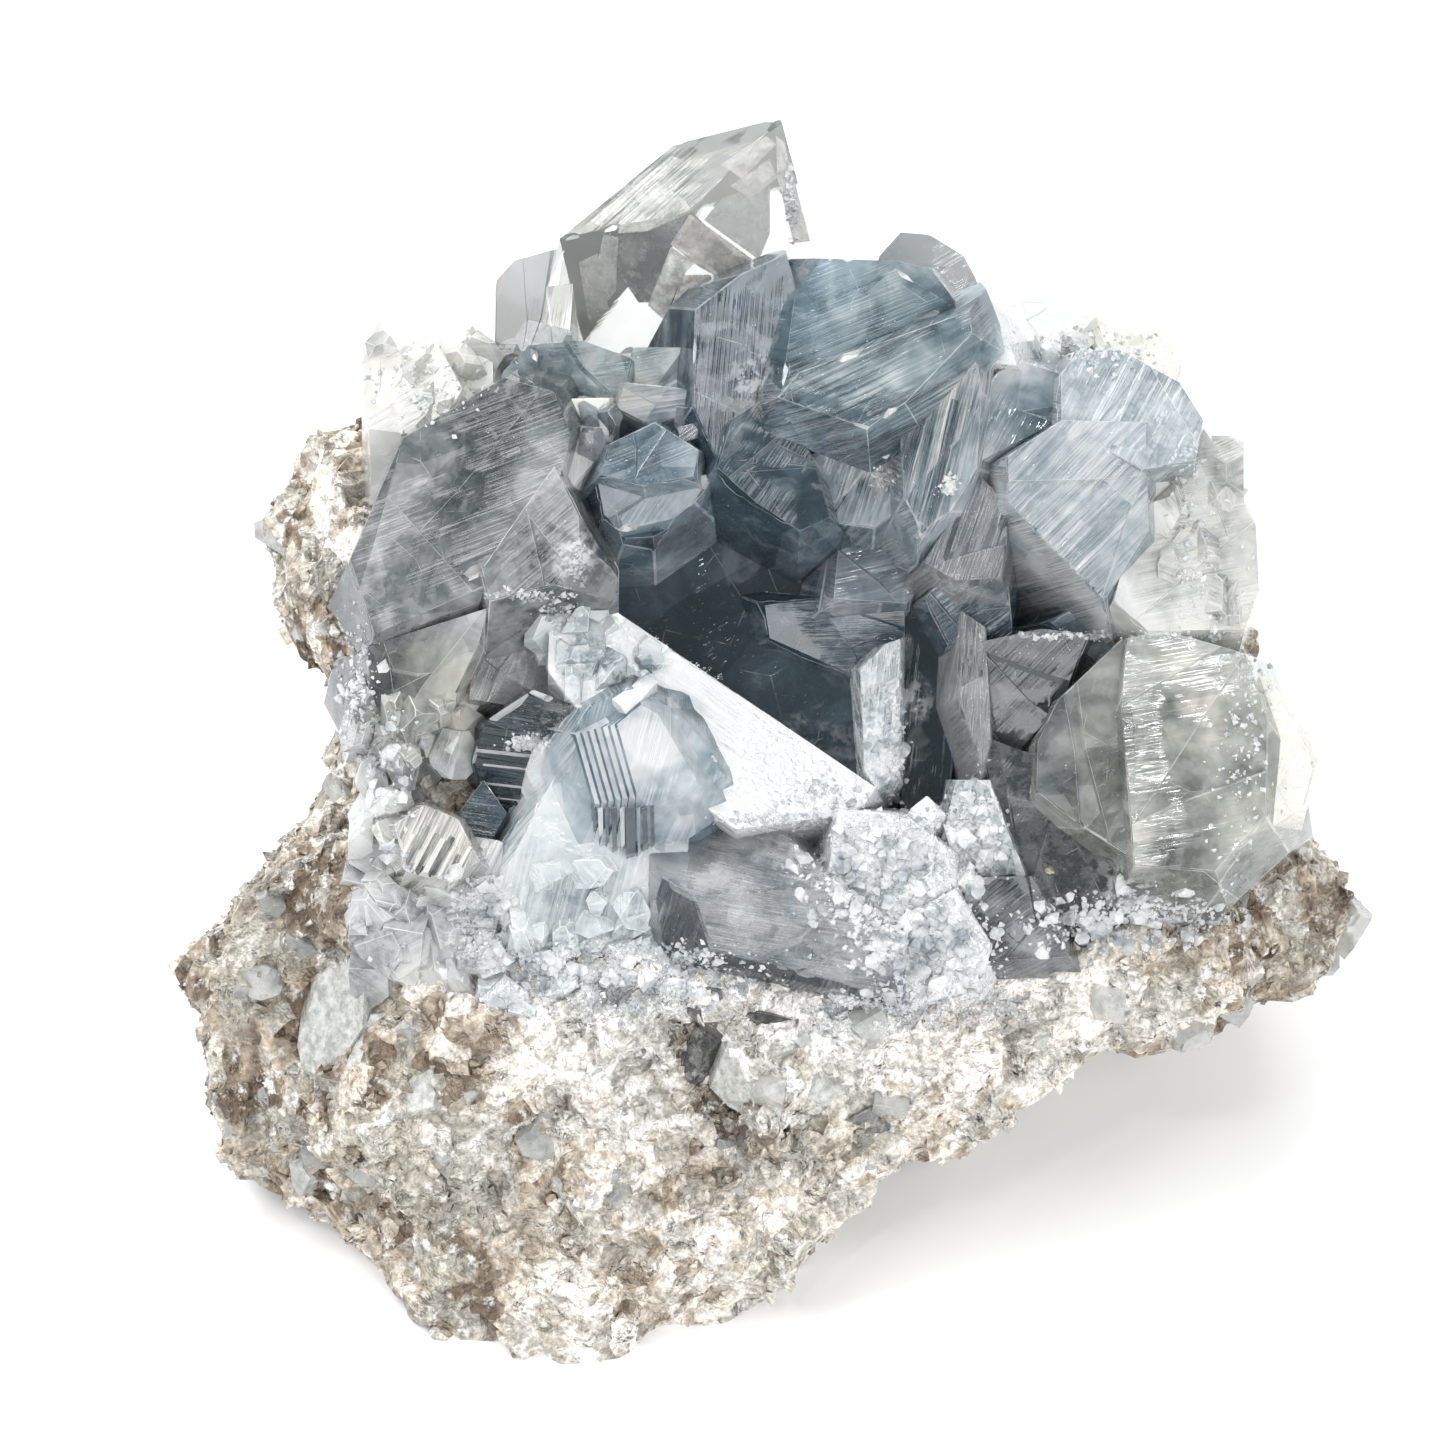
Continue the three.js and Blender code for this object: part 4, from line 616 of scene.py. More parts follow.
# Floor, lamps and camera, in metres: for each lamp its place, size and watts.
FLOOR_SIZE = 1.5
FLOOR_COLOUR = (0.86, 0.86, 0.86)
LAMP_AIM = (0, 0, 0.03)
LAMPS = [
    ("key", (-0.5, 0.12, 0.62), (0.8, 0.6), 6.4),
    ("top", (-0.1, 0.45, 0.72), (0.8, 0.5), 4),
    ("front", (0.1, -0.75, 0.4), (0.7, 0.3), 2.6),
    ("glint_left", (-0.16, -0.22, 0.62), (0.05, 0.05), 0.3),
    ("glint_blade", (0.26, -0.01, 0.68), (0.12, 0.12), 0.35),
    ("glint_right", (0.2, -0.32, 0.5), (0.04, 0.04), 0.2),
    ("back", (0.15, 0.6, 0.45), (0.7, 0.3), 1.4),
    ("fill", (0.6, -0.4, 0.4), (0.6, 0.6), 2.9),
]
# The camera's aim is a place on the face, in millimetres.
CAMERA_AIM = (-2.94, 1.34, 5)
CAMERA_LIFT = math.radians(50)
CAMERA_DISTANCE = 0.62
CAMERA_LENS = 213


# Seeded numbers that match those of the part's own source.
def seeded(seed):
    mask = 0xFFFFFFFF
    state = seed & mask

    def following():
        nonlocal state
        state = (state + 0x6D2B79F5) & mask
        t = ((state ^ (state >> 15)) * (1 | state)) & mask
        t = ((t + ((t ^ (t >> 7)) * (61 | t))) & mask) ^ t
        return ((t ^ (t >> 14)) & mask) / (mask + 1)

    return following


def mostly_small(sizes, share):
    """A size between two, near the smaller one for most shares."""
    return sizes[0] + (sizes[1] - sizes[0]) * share**2


def any_turn(pick):
    return pick() * 6, pick() * 6, pick() * 6


def jitter(pick):
    return Vector((pick() - 0.5, pick() - 0.5, pick() - 0.5))


# Places and directions on the face.
def along_and_across(heading):
    along = Vector((math.cos(heading), math.sin(heading)))
    return along, Vector((-along.y, along.x))


def face_middle(face):
    return sum(c[0] for c in face) / len(face), sum(c[1] for c in face) / len(face)


def on_face(shape, x, y):
    """The height of a crystal's front face at a place."""
    cx, cy = face_middle(shape["face"])
    return shape["z"] + shape["slope"][0] * (x - cx) + shape["slope"][1] * (y - cy)


def in_face_frame(places):
    return places @ TO_FACE[:3, :3].T + TO_FACE[:3, 3]


def below(surface, x, y):
    """What a ray straight down meets: place, normal, number of the polygon and distance."""
    return surface.ray_cast(Vector((x, y, ABOVE)), Vector((0, 0, -1)))


# Closed crystals, cut from a block by planes.
def keep_within(solid, point, outward, tolerance=1e-4):
    whole = solid.verts[:] + solid.edges[:] + solid.faces[:]
    bmesh.ops.bisect_plane(
        solid, geom=whole, dist=tolerance, plane_co=point, plane_no=outward, clear_outer=True
    )
    rim = [edge for edge in solid.edges if edge.is_boundary]
    if rim:
        bmesh.ops.holes_fill(solid, edges=rim)


def cut_block(middle, planes):
    crystal = bmesh.new()
    crystal.faces.layers.int.new("crystal")
    bmesh.ops.create_cube(crystal, size=BLOCK_SIZE, matrix=Matrix.Translation(middle))
    for point, normal in planes:
        keep_within(crystal, point, normal)
    bmesh.ops.recalc_face_normals(crystal, faces=crystal.faces)
    return crystal


def crystal_planes(face, z, slope, depth, root=UPRIGHT, cuts=()):
    """A middle and the planes of a large crystal, its front and its end first."""
    cx, cy = face_middle(face)
    corners = [Vector((x, y, z + slope[0] * (x - cx) + slope[1] * (y - cy))) for x, y, _ in face]
    down = Vector(root).normalized()
    planes = [((cx, cy, z), (-slope[0], -slope[1], 1)), (Vector((cx, cy, z)) + down * depth, down)]
    planes += [(Vector(point), Vector(normal)) for point, normal in cuts]
    for i, corner in enumerate(corners):
        along = corners[(i + 1) % len(corners)] - corner
        outward = Vector((along.y, -along.x, 0)).normalized()
        side = down + outward * math.tan(math.radians(face[i][2]))
        planes.append((corner, side.cross(along)))
        spoke = Vector((corner.x - cx, corner.y - cy, 0)).normalized()
        limit = (spoke - down * spoke.dot(down)).normalized()
        planes.append((corner + limit * ROOT_SPREAD, limit))
    return (cx, cy, z), planes


def plane_through(a, b, c):
    return a, (b - a).cross(c - a)


def peak_crystal():
    middle = Vector(PEAK_MIDDLE)
    down = Vector(FROM_BEHIND).normalized()
    planes = [plane_through(*(Vector(PEAK[corner]) for corner in corners)) for corners in PEAK_FACES]
    planes.append((middle + down * PEAK_DEPTH, down))
    outward = [(point, n if (point - middle).dot(n) > 0 else -n) for point, n in planes]
    return cut_block(middle, outward)


def growth_layers(base):
    """The layers on the stepped crystal, each a little smaller than the one under it."""
    for k in range(LAYERS["count"]):
        dx, dy = LAYERS["step"][0] * k, LAYERS["step"][1] * k
        face = [(x + dx, y + dy, lean) for x, y, lean in LAYERS["left"]] + LAYERS["rest"]
        z = on_face(base, *face_middle(face)) + LAYERS["rise"] * (k + 1)
        yield cut_block(*crystal_planes(face, z, base["slope"], LAYERS["depth"]))


def signs(index):
    return (1, -1) if index else (1,)


def small_crystal(at, size, stretch, turn, flat=1, forms=FORMS):
    """A small crystal of the given forms, stretched along one axis and flattened along another."""
    rotation = Euler(turn, "ZYX").to_matrix()
    planes = []
    for h, k, l, distance in forms:
        for sh in signs(h):
            for sk in signs(k):
                for sl in signs(l):
                    normal = Vector((sh * h / AXES[0], sk * k / AXES[1], sl * l / AXES[2]))
                    normal = rotation @ normal.normalized()
                    reach = distance * size * (stretch if h and not k else 1)
                    reach *= flat if l and not h and not k else 1
                    planes.append((Vector(at) + normal * reach, normal))
    return cut_block(at, planes)


def druse(count, size, x, y, seed, z=0, lower=0, surface=None, highest=0, sunk=0.3):
    """Small crystals within a patch, on the surface where one is given."""
    pick = seeded(seed)

    def between(low, high):
        return low + (high - low) * pick()

    for _ in range(count):
        at = Vector((between(*x), between(*y), z + pick() * DRUSE_SPREAD)) - Vector((0, 0, lower))
        grown = between(*size)
        stretch = 1 + pick()
        turn = (pick() * 3, pick() * 3, pick() * 6)
        if surface:
            at = below(surface, at.x, at.y)[0]
            if at is None or not LOWEST_SEEN < at.z < highest:
                continue
            at.z -= grown * sunk
        crystal = small_crystal(at, grown, stretch, turn, DRUSE_FLATNESS)
        crystal.normal_update()
        nick_corners(crystal, pick, DRUSE_NICKS, DRUSE_NICKS * grown)
        yield crystal


# Wear, growth steps, ridges and cracks.
def nick_corners(crystal, pick, share, deepest):
    """Takes off a share of the corners, except where the cut would run far into the crystal."""
    for vert in list(crystal.verts):
        if not vert.is_valid or pick() > share:
            continue
        normal = sum((face.normal for face in vert.link_faces), Vector()).normalized()
        normal = (normal + jitter(pick) * 0.9).normalized()
        point = vert.co - normal * (SHALLOWEST_NICK + deepest * pick())
        highest = max((v.co - point).dot(normal) for v in crystal.verts)
        if highest > 1.6 * deepest + 0.3:
            continue
        keep_within(crystal, point, normal)
        crystal.normal_update()


def kept_in(shape, face, z, depth):
    """A thin form on a crystal's front face that ends at the crystal's own sides."""
    middle, planes = crystal_planes(face, z, shape["slope"], depth)
    sides = crystal_planes(**shape)[1][2:]
    inset = [(Vector(at) - Vector(out).normalized() * 0.03, out) for at, out in sides]
    return cut_block(middle, planes + inset)


def growth_steps(shape, pick, count):
    """Low steps of growth that cross a crystal's front face."""
    cx, cy = face_middle(shape["face"])
    reach = max(math.hypot(x - cx, y - cy) for x, y, _ in shape["face"])
    for _ in range(count):
        along, across = along_and_across(2 * math.pi * pick())
        start = Vector((cx, cy)) + across * reach * (0.05 + 0.6 * pick())
        bend = start + along * reach * (pick() - 0.5) - across * reach * 0.3 * pick()
        far, wide = along * 2 * reach, across * 3 * reach
        corners = [start - far, bend, start + far, start + far + wide, start - far + wide]
        step = [(corner.x, corner.y, STEP_LEAN) for corner in corners]
        height = on_face(shape, *face_middle(step)) + 0.05 + 0.12 * pick()
        yield kept_in(shape, step, height, STEP_DEPTH)


def bar(shape, start, end, width, rise):
    """A thin ridge along a line on a crystal's front face."""
    along = (end - start).normalized()
    side = Vector((-along.y, along.x)) * width / 2
    corners = [(start, -1), (end, -1), (end, 1), (start, 1)]
    face = [(at.x + way * side.x, at.y + way * side.y, RIDGE_LEAN) for at, way in corners]
    z = on_face(shape, (start.x + end.x) / 2, (start.y + end.y) / 2) + rise
    return kept_in(shape, face, z, RIDGE_DEPTH)


def inner_plane(corners, thickness=0.06):
    """A healed crack: a thin closed plate inside a crystal."""
    plate = bmesh.new()
    plate.faces.layers.int.new("crystal")
    face = plate.faces.new([plate.verts.new(corner) for corner in corners])
    face.normal_update()
    lift = face.normal * thickness
    far = bmesh.ops.extrude_face_region(plate, geom=[face])["geom"]
    moved = [part for part in far if isinstance(part, bmesh.types.BMVert)]
    bmesh.ops.translate(plate, vec=lift, verts=moved)
    bmesh.ops.recalc_face_normals(plate, faces=plate.faces)
    return plate


def crack_outline(pick, centre, facing, size):
    side = facing.orthogonal().normalized()
    up = facing.cross(side)
    for k in range(CRACK_CORNERS):
        angle = (k + 0.7 * pick()) / CRACK_CORNERS * 2 * math.pi
        out = size * (0.5 + 0.5 * pick())
        yield centre + side * out * math.cos(angle) + up * out * 0.6 * math.sin(angle)


def scattered_cracks(name, count, sizes, normal, seed):
    """Cracks inside a crystal, each ending a little below its faces."""
    pick = seeded(seed)
    shape = CRYSTALS[name]
    middle, planes = crystal_planes(**shape)
    spans = [max(c[k] for c in shape["face"]) - min(c[k] for c in shape["face"]) for k in (0, 1)]
    for _ in range(count):
        centre = Vector(middle) + Vector(
            ((pick() - 0.5) * spans[0], (pick() - 0.5) * spans[1], -0.6 - 4 * pick())
        )
        facing = (Vector(normal) + jitter(pick) * 0.6).normalized()
        size = mostly_small(sizes, pick())
        plate = inner_plane(list(crack_outline(pick, centre, facing, size)), 0.05)
        for point, outward in planes:
            outward = Vector(outward).normalized()
            keep_within(plate, Vector(point) - outward * 0.25, outward)
        if len(plate.faces) > 3:
            yield plate


def peak_cracks(front):
    """The planes inside the tall crystal, below its front faces."""
    for tone, depth, corners in PEAK_PLANES:
        places = [below(front, x, y)[0] for x, y in corners]
        ring = [place - Vector((0, 0, depth)) for place in places if place is not None]
        if len(ring) > 2:
            yield inner_plane(ring), tone


def broken_edges(crystal, pick, count, sizes):
    """Small closed lumps on the crystal's front edges, to take out of it."""
    top = max(vert.co.z for vert in crystal.verts)
    edges = [e for e in crystal.edges if min(v.co.z for v in e.verts) > top - BITTEN_DEPTH]
    reach = sum(edge.calc_length() for edge in edges)
    bites = []
    for _ in range(count):
        along = pick() * reach
        for edge in edges:
            along -= edge.calc_length()
            if along <= 0:
                break
        at = edge.verts[0].co.lerp(edge.verts[1].co, pick())
        bite = small_crystal((0, 0, 0), mostly_small(sizes, pick()), 1, any_turn(pick))
        edge_line = (edge.verts[1].co - edge.verts[0].co).normalized()
        longer = Matrix.Translation(at) @ Matrix.Scale(1.5 + 2.5 * pick(), 4, edge_line)
        bmesh.ops.transform(bite, matrix=longer, verts=bite.verts)
        bites.append(bite)
    return [as_mesh(bite, 0) for bite in bites]


# Meshes: finished, joined and read.
def as_mesh(crystal, number):
    """The crystal as a mesh in the part's frame. Its faces hold the row of their look."""
    mark = crystal.faces.layers.int["crystal"]
    for face in crystal.faces:
        face[mark] += number
    bmesh.ops.transform(crystal, matrix=FACE_TO_PART, verts=crystal.verts)
    bmesh.ops.recalc_face_normals(crystal, faces=crystal.faces)
    mesh = bpy.data.meshes.new("crystal")
    crystal.to_mesh(mesh)
    crystal.free()
    return mesh


def placed_object(name, mesh):
    made = bpy.data.objects.new(name, mesh)
    bpy.context.scene.collection.objects.link(made)
    return made


def joined(name, meshes, operation="UNION"):
    """One closed mesh: the first with the others added or taken out."""
    whole = placed_object(name, meshes[0])
    tools = [placed_object("tool", mesh) for mesh in meshes[1:]]
    for tool in tools:
        join = whole.modifiers.new("join", "BOOLEAN")
        join.operation = operation
        join.solver = "MANIFOLD"
        join.object = tool
    bpy.context.view_layer.update()
    depsgraph = bpy.context.evaluated_depsgraph_get()
    mesh = bpy.data.meshes.new_from_object(whole.evaluated_get(depsgraph))
    mesh.name = name
    for made in [*tools, whole]:
        bpy.data.objects.remove(made)
    return mesh


def gathered(name, meshes):
    """One mesh of many separate small ones."""
    whole = bmesh.new()
    for mesh in meshes:
        whole.from_mesh(mesh)
    made = bpy.data.meshes.new(name)
    whole.to_mesh(made)
    whole.free()
    return made


def read_all(items, title, kind, width=1):
    values = np.zeros(len(items) * width, kind)
    items.foreach_get(title, values)
    return values


def corners_of(mesh):
    return in_face_frame(read_all(mesh.vertices, "co", np.float32, 3).reshape(-1, 3))


def surface_of(meshes):
    """The meshes as one surface, in the face's frame."""
    corners, faces = [], []
    for mesh in meshes:
        faces += [[v + len(corners) for v in polygon.vertices] for polygon in mesh.polygons]
        corners += corners_of(mesh).tolist()
    return BVHTree.FromPolygons(corners, faces)


def face_numbers(mesh):
    """The number that each face holds. The attribute goes."""
    numbers = read_all(mesh.attributes["crystal"].data, "value", np.int32)
    mesh.attributes.remove(mesh.attributes["crystal"])
    return numbers


def lay_out_lines(mesh):
    """UV map and attributes: growth lines run along v."""
    numbers = np.repeat(face_numbers(mesh), read_all(mesh.polygons, "loop_total", np.int32))
    placed = corners_of(mesh)[read_all(mesh.loops, "vertex_index", np.int32)]
    table = np.array(looks)[numbers]
    angle = np.radians(table[:, 2])
    across = placed[:, 1] * np.cos(angle) - placed[:, 0] * np.sin(angle) + 0.25 * placed[:, 2]
    along = placed[:, 0] * np.cos(angle) + placed[:, 1] * np.sin(angle) + 0.6 * placed[:, 2]
    lines = mesh.uv_layers.new(name="lines")
    lines.data.foreach_set("uv", np.stack([across + numbers * LINES_APART, along], 1).ravel())
    for column, title in ((0, "tone"), (1, "frost"), (3, "striae")):
        layer = mesh.attributes.new(title, "FLOAT", "CORNER")
        layer.data.foreach_set("value", table[:, column].astype(np.float32))


def toned(name, plates):
    """One mesh of many plates, each with its tone."""
    plates = list(plates)
    tones = np.array([tone for _, tone in plates], np.float32)
    mesh = gathered(name, [as_mesh(plate, k) for k, (plate, _) in enumerate(plates)])
    numbers = face_numbers(mesh)
    layer = mesh.attributes.new("tone", "FLOAT", "FACE")
    layer.data.foreach_set("value", tones[numbers])
    return mesh


# Growing the crystals. After the look of what is broken, each crystal has three rows of looks: its
# front, its worn edges with their painted highlight, and its side.
looks = [BROKEN_LOOK]
groups = {"clear": [], "smoky": [], "blue": [], "dark": [], "pale": [], "grey": []}
chance = seeded(GROWTH_SEED)


def grow(crystal, look, width, bites=0, side=None):
    """Wears a crystal's edges and paints them lighter, partly as a highlight, gives its faces their looks
    and adds it to its group.
    """
    group, tone, frost, angle, lines = look
    if len(crystal.faces) < 4:
        return
    mark = crystal.faces.layers.int["crystal"]
    crystal.normal_update()
    if side:
        for face in crystal.faces:
            face[mark] = SIDE if face.normal.dot(Vector(side[0])) > side[1] else FRONT
    lumps = broken_edges(crystal, chance, bites, BITE_SIZES) if bites else []
    worn_and_highlit = bmesh.ops.bevel(
        crystal, geom=crystal.edges[:], offset=width, offset_type="OFFSET", segments=1,
        profile=0.5, affect="EDGES", material=-1, clamp_overlap=True,
    )["faces"]
    if not side:
        for face in worn_and_highlit:
            face[mark] = WORN_AND_HIGHLIT
    first = len(looks)
    front = (tone, frost, angle, lines)
    # The edge look: lighter and frostier than the front, partly wear and partly a painted highlight.
    edges = (tone - EDGE_WEAR_AND_HIGHLIGHT, frost + EDGE_FROST_AND_HIGHLIGHT, angle, lines * 0.5)
    looks.extend([front, edges, side[2] if side else front])
    mesh = as_mesh(crystal, first)
    if lumps:
        mesh = joined("crystal", [mesh, *lumps], "DIFFERENCE")
    groups[group].append(mesh)


def grow_large_crystals():
    for name, shape in CRYSTALS.items():
        crystal = cut_block(*crystal_planes(**shape))
        crystal.normal_update()
        nick_corners(crystal, chance, NICKED, NICK_DEPTH)
        grow(crystal, LOOKS[name], WORN_EDGE, EDGE_BITES, SIDES.get(name))
        if name in SMOOTH:
            continue
        group, tone, frost, angle, lines = LOOKS[name]
        swing = 0.3 if group == "pale" else 0.18
        for step in growth_steps(shape, chance, ROUGHER.get(name, USUAL_STEPS)):
            darker = tone + swing * (chance() - 0.5)
            grow(step, (group, darker, frost, angle, lines * (0.6 + 0.6 * chance())), FINE_EDGE)


def grow_ridges(name, angle, middle, reach, length, count, width, rise, tones):
    """Parallel ridges on a crystal's front face."""
    along, across = along_and_across(math.radians(angle))
    for k in range(count):
        offset = reach * ((k + 0.5 * chance()) / count * 2 - 1)
        start = Vector(middle) + across * offset - along * length * (0.35 + 0.2 * chance())
        end = start + along * length * (0.7 + 0.4 * chance())
        wide = width * (0.5 + chance())
        ridge = bar(CRYSTALS[name], start, end, wide, rise * (0.4 + chance()))
        grow(ridge, (LOOKS[name][0], tones[k % len(tones)], 0.05, angle, 0.6), FINE_EDGE)


def grow_terrace():
    """The growth layers of the stepped crystal and the bands down its front."""
    for layer in growth_layers(CRYSTALS["terrace"]):
        grow(layer, LAYER_LOOK, FINE_EDGE, 0, LAYER_SIDE)
    for x, width, low, tone in TERRACE_BANDS:
        face = [(x, -4.8, 4), (x + 0.1, low, 4), (x + width, low + 0.2, 4), (x + width, -4.7, 4)]
        # The front falls a little to the right, steeply left of -10, and with a band's low end.
        z = 15.35 + 0.43 * low - 0.06 * (x + 8) - 0.5 * max(0, -10 - x)
        band = cut_block(*crystal_planes(face, z, (0, 0.86), 3))
        grow(band, ("blue", tone, 0.05, 88, 0.6), FINE_EDGE)


def grow_crown_strip():
    """The raised strip along the foot of the crown's front face."""
    height = on_face(CRYSTALS["crown"], 8.4, 26.2) + 0.5
    strip = cut_block(*crystal_planes(CROWN_STRIP, height, (0.02, -0.22), 4))
    grow(strip, ("blue", 0.74, 0.05, 25, 0.7), 0.05, 6)


def grow_peak():
    """The tall crystal. Its surface before it is worn carries the planes inside it."""
    peak = peak_crystal()
    front = BVHTree.FromBMesh(peak)
    grow(peak, PEAK_LOOK, WORN_EDGE, 10)
    return front


def grow_druses(patches, surface=None):
    for patch in patches:
        group, tone, frost = patch["look"]
        place = {key: value for key, value in patch.items() if key != "look"}
        for crystal in druse(surface=surface, **place):
            darker = tone + 0.3 * chance() - 0.15
            grow(crystal, (group, darker, frost, 180 * chance(), 0.4), 0.05)


# The matrix.
def cell_relief(points, count, seed, tilt, rise):
    """Height of a surface broken into many small leaning facets."""
    pick = seeded(seed)
    cells = np.array([[pick() * 2 - 1 for _ in range(7)] for _ in range(count)])
    cells[:, :3] = cells[:, :3] * CELL_SPREAD + CELL_MIDDLE
    tree = kdtree.KDTree(count)
    for i, cell in enumerate(cells):
        tree.insert(cell[:3], i)
    tree.balance()
    nearest = cells[[tree.find(point)[1] for point in points]]
    offset = points - nearest[:, :3]
    return (nearest[:, 3:6] * offset).sum(1) * tilt + nearest[:, 6] * rise


def outline_reach(angles):
    """How far the outline lies from the middle in each direction."""
    ox, oy = MATRIX_MIDDLE
    dx, dy = np.cos(angles), np.sin(angles)
    reach = np.zeros(len(angles))
    for i, (ax, ay) in enumerate(MATRIX_OUTLINE):
        bx, by = MATRIX_OUTLINE[(i + 1) % len(MATRIX_OUTLINE)]
        ex, ey = bx - ax, by - ay
        cross = dx * ey - dy * ex
        cross = np.where(np.abs(cross) < 1e-9, 1e-9, cross)
        along = ((ax - ox) * ey - (ay - oy) * ex) / cross
        share = ((ax - ox) * dy - (ay - oy) * dx) / cross
        hit = (along > 0) & (share >= -1e-6) & (share <= 1 + 1e-6)
        reach = np.where(hit, np.maximum(reach, along), reach)
    return reach


def height_at(points, x, y):
    """Heights between given ones, each weighted by how near it is."""
    weights = np.zeros(len(x))
    total = np.zeros(len(x))
    for px, py, pz in points:
        weight = 1 / ((x - px) ** 2 + (y - py) ** 2 + 6) ** 1.5
        weights += weight
        total += weight * pz
    return total / weights


def matrix_points(d):
    """Places on the rock for directions from its middle."""
    flat = np.minimum(1, np.hypot(d[:, 0], d[:, 1]))
    angles = np.arctan2(d[:, 1], d[:, 0])
    reach = outline_reach(angles) * (0.35 * flat + 0.65 * flat**1.6)
    x = MATRIX_MIDDLE[0] + reach * np.cos(angles)
    y = MATRIX_MIDDLE[1] + reach * np.sin(angles)
    rim, front = height_at(MATRIX_RIM, x, y), height_at(MATRIX_FRONT, x, y)
    above = rim + (front - rim) * np.sqrt(1 - flat**8)
    behind = rim - MATRIX_BACK_DEPTH * (1 - flat**3) ** 0.7
    p = np.stack([x, y, np.where(d[:, 2] >= 0, above, behind)], 1)
    outward = d * (1, 1, 1.6)
    outward /= np.linalg.norm(outward, axis=1)[:, None]
    rough = outward * (RIM_RELIEF, RIM_RELIEF, 1)
    relief = sum(cell_relief(p, *cells) for cells in ROCK_CELLS)
    for fx, fy, fz, radius, height in MATRIX_FEATURES:
        distance = np.linalg.norm(p - (fx, fy, fz), axis=1)
        relief += height * np.exp(-((distance / radius) ** 2))
    return p + rough * relief[:, None]


def move_to(rock, places):
    for vert, place in zip(rock.verts, places):
        vert.co = place


def matrix_rock():
    """The rock lump, with fine facets, cut level at its underside."""
    rock = bmesh.new()
    bmesh.ops.create_icosphere(rock, subdivisions=7, radius=1)
    directions = np.array([vert.co for vert in rock.verts])
    directions /= np.linalg.norm(directions, axis=1)[:, None]
    move_to(rock, matrix_points(directions))
    for _ in range(2):
        bmesh.ops.smooth_vert(
            rock, verts=rock.verts, factor=0.5, use_axis_x=True, use_axis_y=True, use_axis_z=True
        )
    rock.normal_update()
    places = np.array([vert.co for vert in rock.verts])
    outward = np.array([vert.normal for vert in rock.verts])
    move_to(rock, places + outward * cell_relief(places, *FINE_CELLS)[:, None])
    bmesh.ops.transform(rock, matrix=FACE_TO_PART, verts=rock.verts)
    keep_within(rock, (0, 0, 0), (0, 0, -1), 1e-7)
    mesh = bpy.data.meshes.new("matrix_rock")
    rock.to_mesh(mesh)
    rock.free()
    return mesh


def wall_plates(rock):
    """Flat broken crystals, laid on the rock."""
    ground = surface_of([rock])
    for tone, corners in WALL_PLATES:
        x, y, z = np.array([below(ground, cx, cy)[0] for cx, cy in corners]).T
        plane = np.stack([x - x.mean(), y - y.mean(), np.ones(len(x))], 1)
        rise_x, rise_y, middle = np.linalg.lstsq(plane, z, rcond=None)[0]
        face = [(cx, cy, 24) for cx, cy in corners]
        cx, cy = face_middle(face)
        lift = 0.35 if tone < 0.4 else 0.05
        height = middle + rise_x * (cx - x.mean()) + rise_y * (cy - y.mean()) + lift
        plate = cut_block(*crystal_planes(face, height, (rise_x, rise_y), 3))
        plate.normal_update()
        nick_corners(plate, chance, 0.5, 0.3)
        yield plate, tone


# Grains.
def rock_sites(rock, count, seed, lowest=-math.inf):
    """Places and directions on the rock, none of them lower on the face than the lowest."""
    random = np.random.default_rng(seed)
    sites = np.array([[*polygon.center, *polygon.normal, polygon.area] for polygon in rock.polygons])
    seen = in_face_frame(sites[:, :3])[:, 1] > lowest
    share = sites[:, 6] * seen * (sites[:, 2] > NEAR_UNDERSIDE)
    return sites[random.choice(len(sites), count, p=share / share.sum())]


def sugar_sites(surface, patches, seed):
    """Places and directions on the surface inside the sugary patches."""
    random = np.random.default_rng(seed)
    turned = np.array(FACE_TO_PART.to_3x3()) * 1000
    sites = []
    for (x, y), (wide, high), count in patches:
        for dx, dy in random.normal(0, 0.5, (count, 2)):
            place, normal, _, _ = below(surface, x + wide * dx, y + high * dy)
            if place is not None and place.z > LOWEST_SEEN:
                sites.append([*(FACE_TO_PART @ place), *(turned @ np.array(normal))])
    return np.array(sites)


def grain_kinds(pick, forms):
    """A few small crystals as corners and triangles, to repeat."""
    for _ in range(GRAIN_KINDS):
        turn = any_turn(pick)
        kind = small_crystal((0, 0, 0), 1, 1 + pick() * 0.6, turn, 1, forms)
        bmesh.ops.remove_doubles(kind, verts=kind.verts, dist=0.03)
        bmesh.ops.triangulate(kind, faces=kind.faces)
        bmesh.ops.recalc_face_normals(kind, faces=kind.faces)
        kind.verts.index_update()
        corners = np.array([vert.co for vert in kind.verts])
        triangles = np.array([[v.index for v in f.verts] for f in kind.faces])
        kind.free()
        yield corners, triangles


def scatter(name, sites, sizes, seed, sunk, forms):
    """Many small broken crystals on the given places, joined in one mesh."""
    random = np.random.default_rng(seed)
    kinds = list(grain_kinds(seeded(seed), forms))
    verts, faces, start = [], [], 0
    for site in sites:
        corners, triangles = kinds[random.integers(GRAIN_KINDS)]
        size = mostly_small(sizes, random.random()) * 0.001
        turn = Euler(random.random(3) * 6.28).to_matrix()
        shape = random.uniform(0.6, 1.2, 3)
        placed = (corners * shape * size) @ np.array(turn)
        verts.append(placed + site[:3] + site[3:6] * size * (0.35 - sunk))
        faces.append(triangles + start)
        start += len(corners)
    verts = np.concatenate(verts)
    # None reaches below the underside that the part stands on.
    verts[:, 2] = np.maximum(verts[:, 2], 0)
    mesh = bpy.data.meshes.new(name)
    mesh.from_pydata(verts.tolist(), [], np.concatenate(faces).tolist())
    return mesh


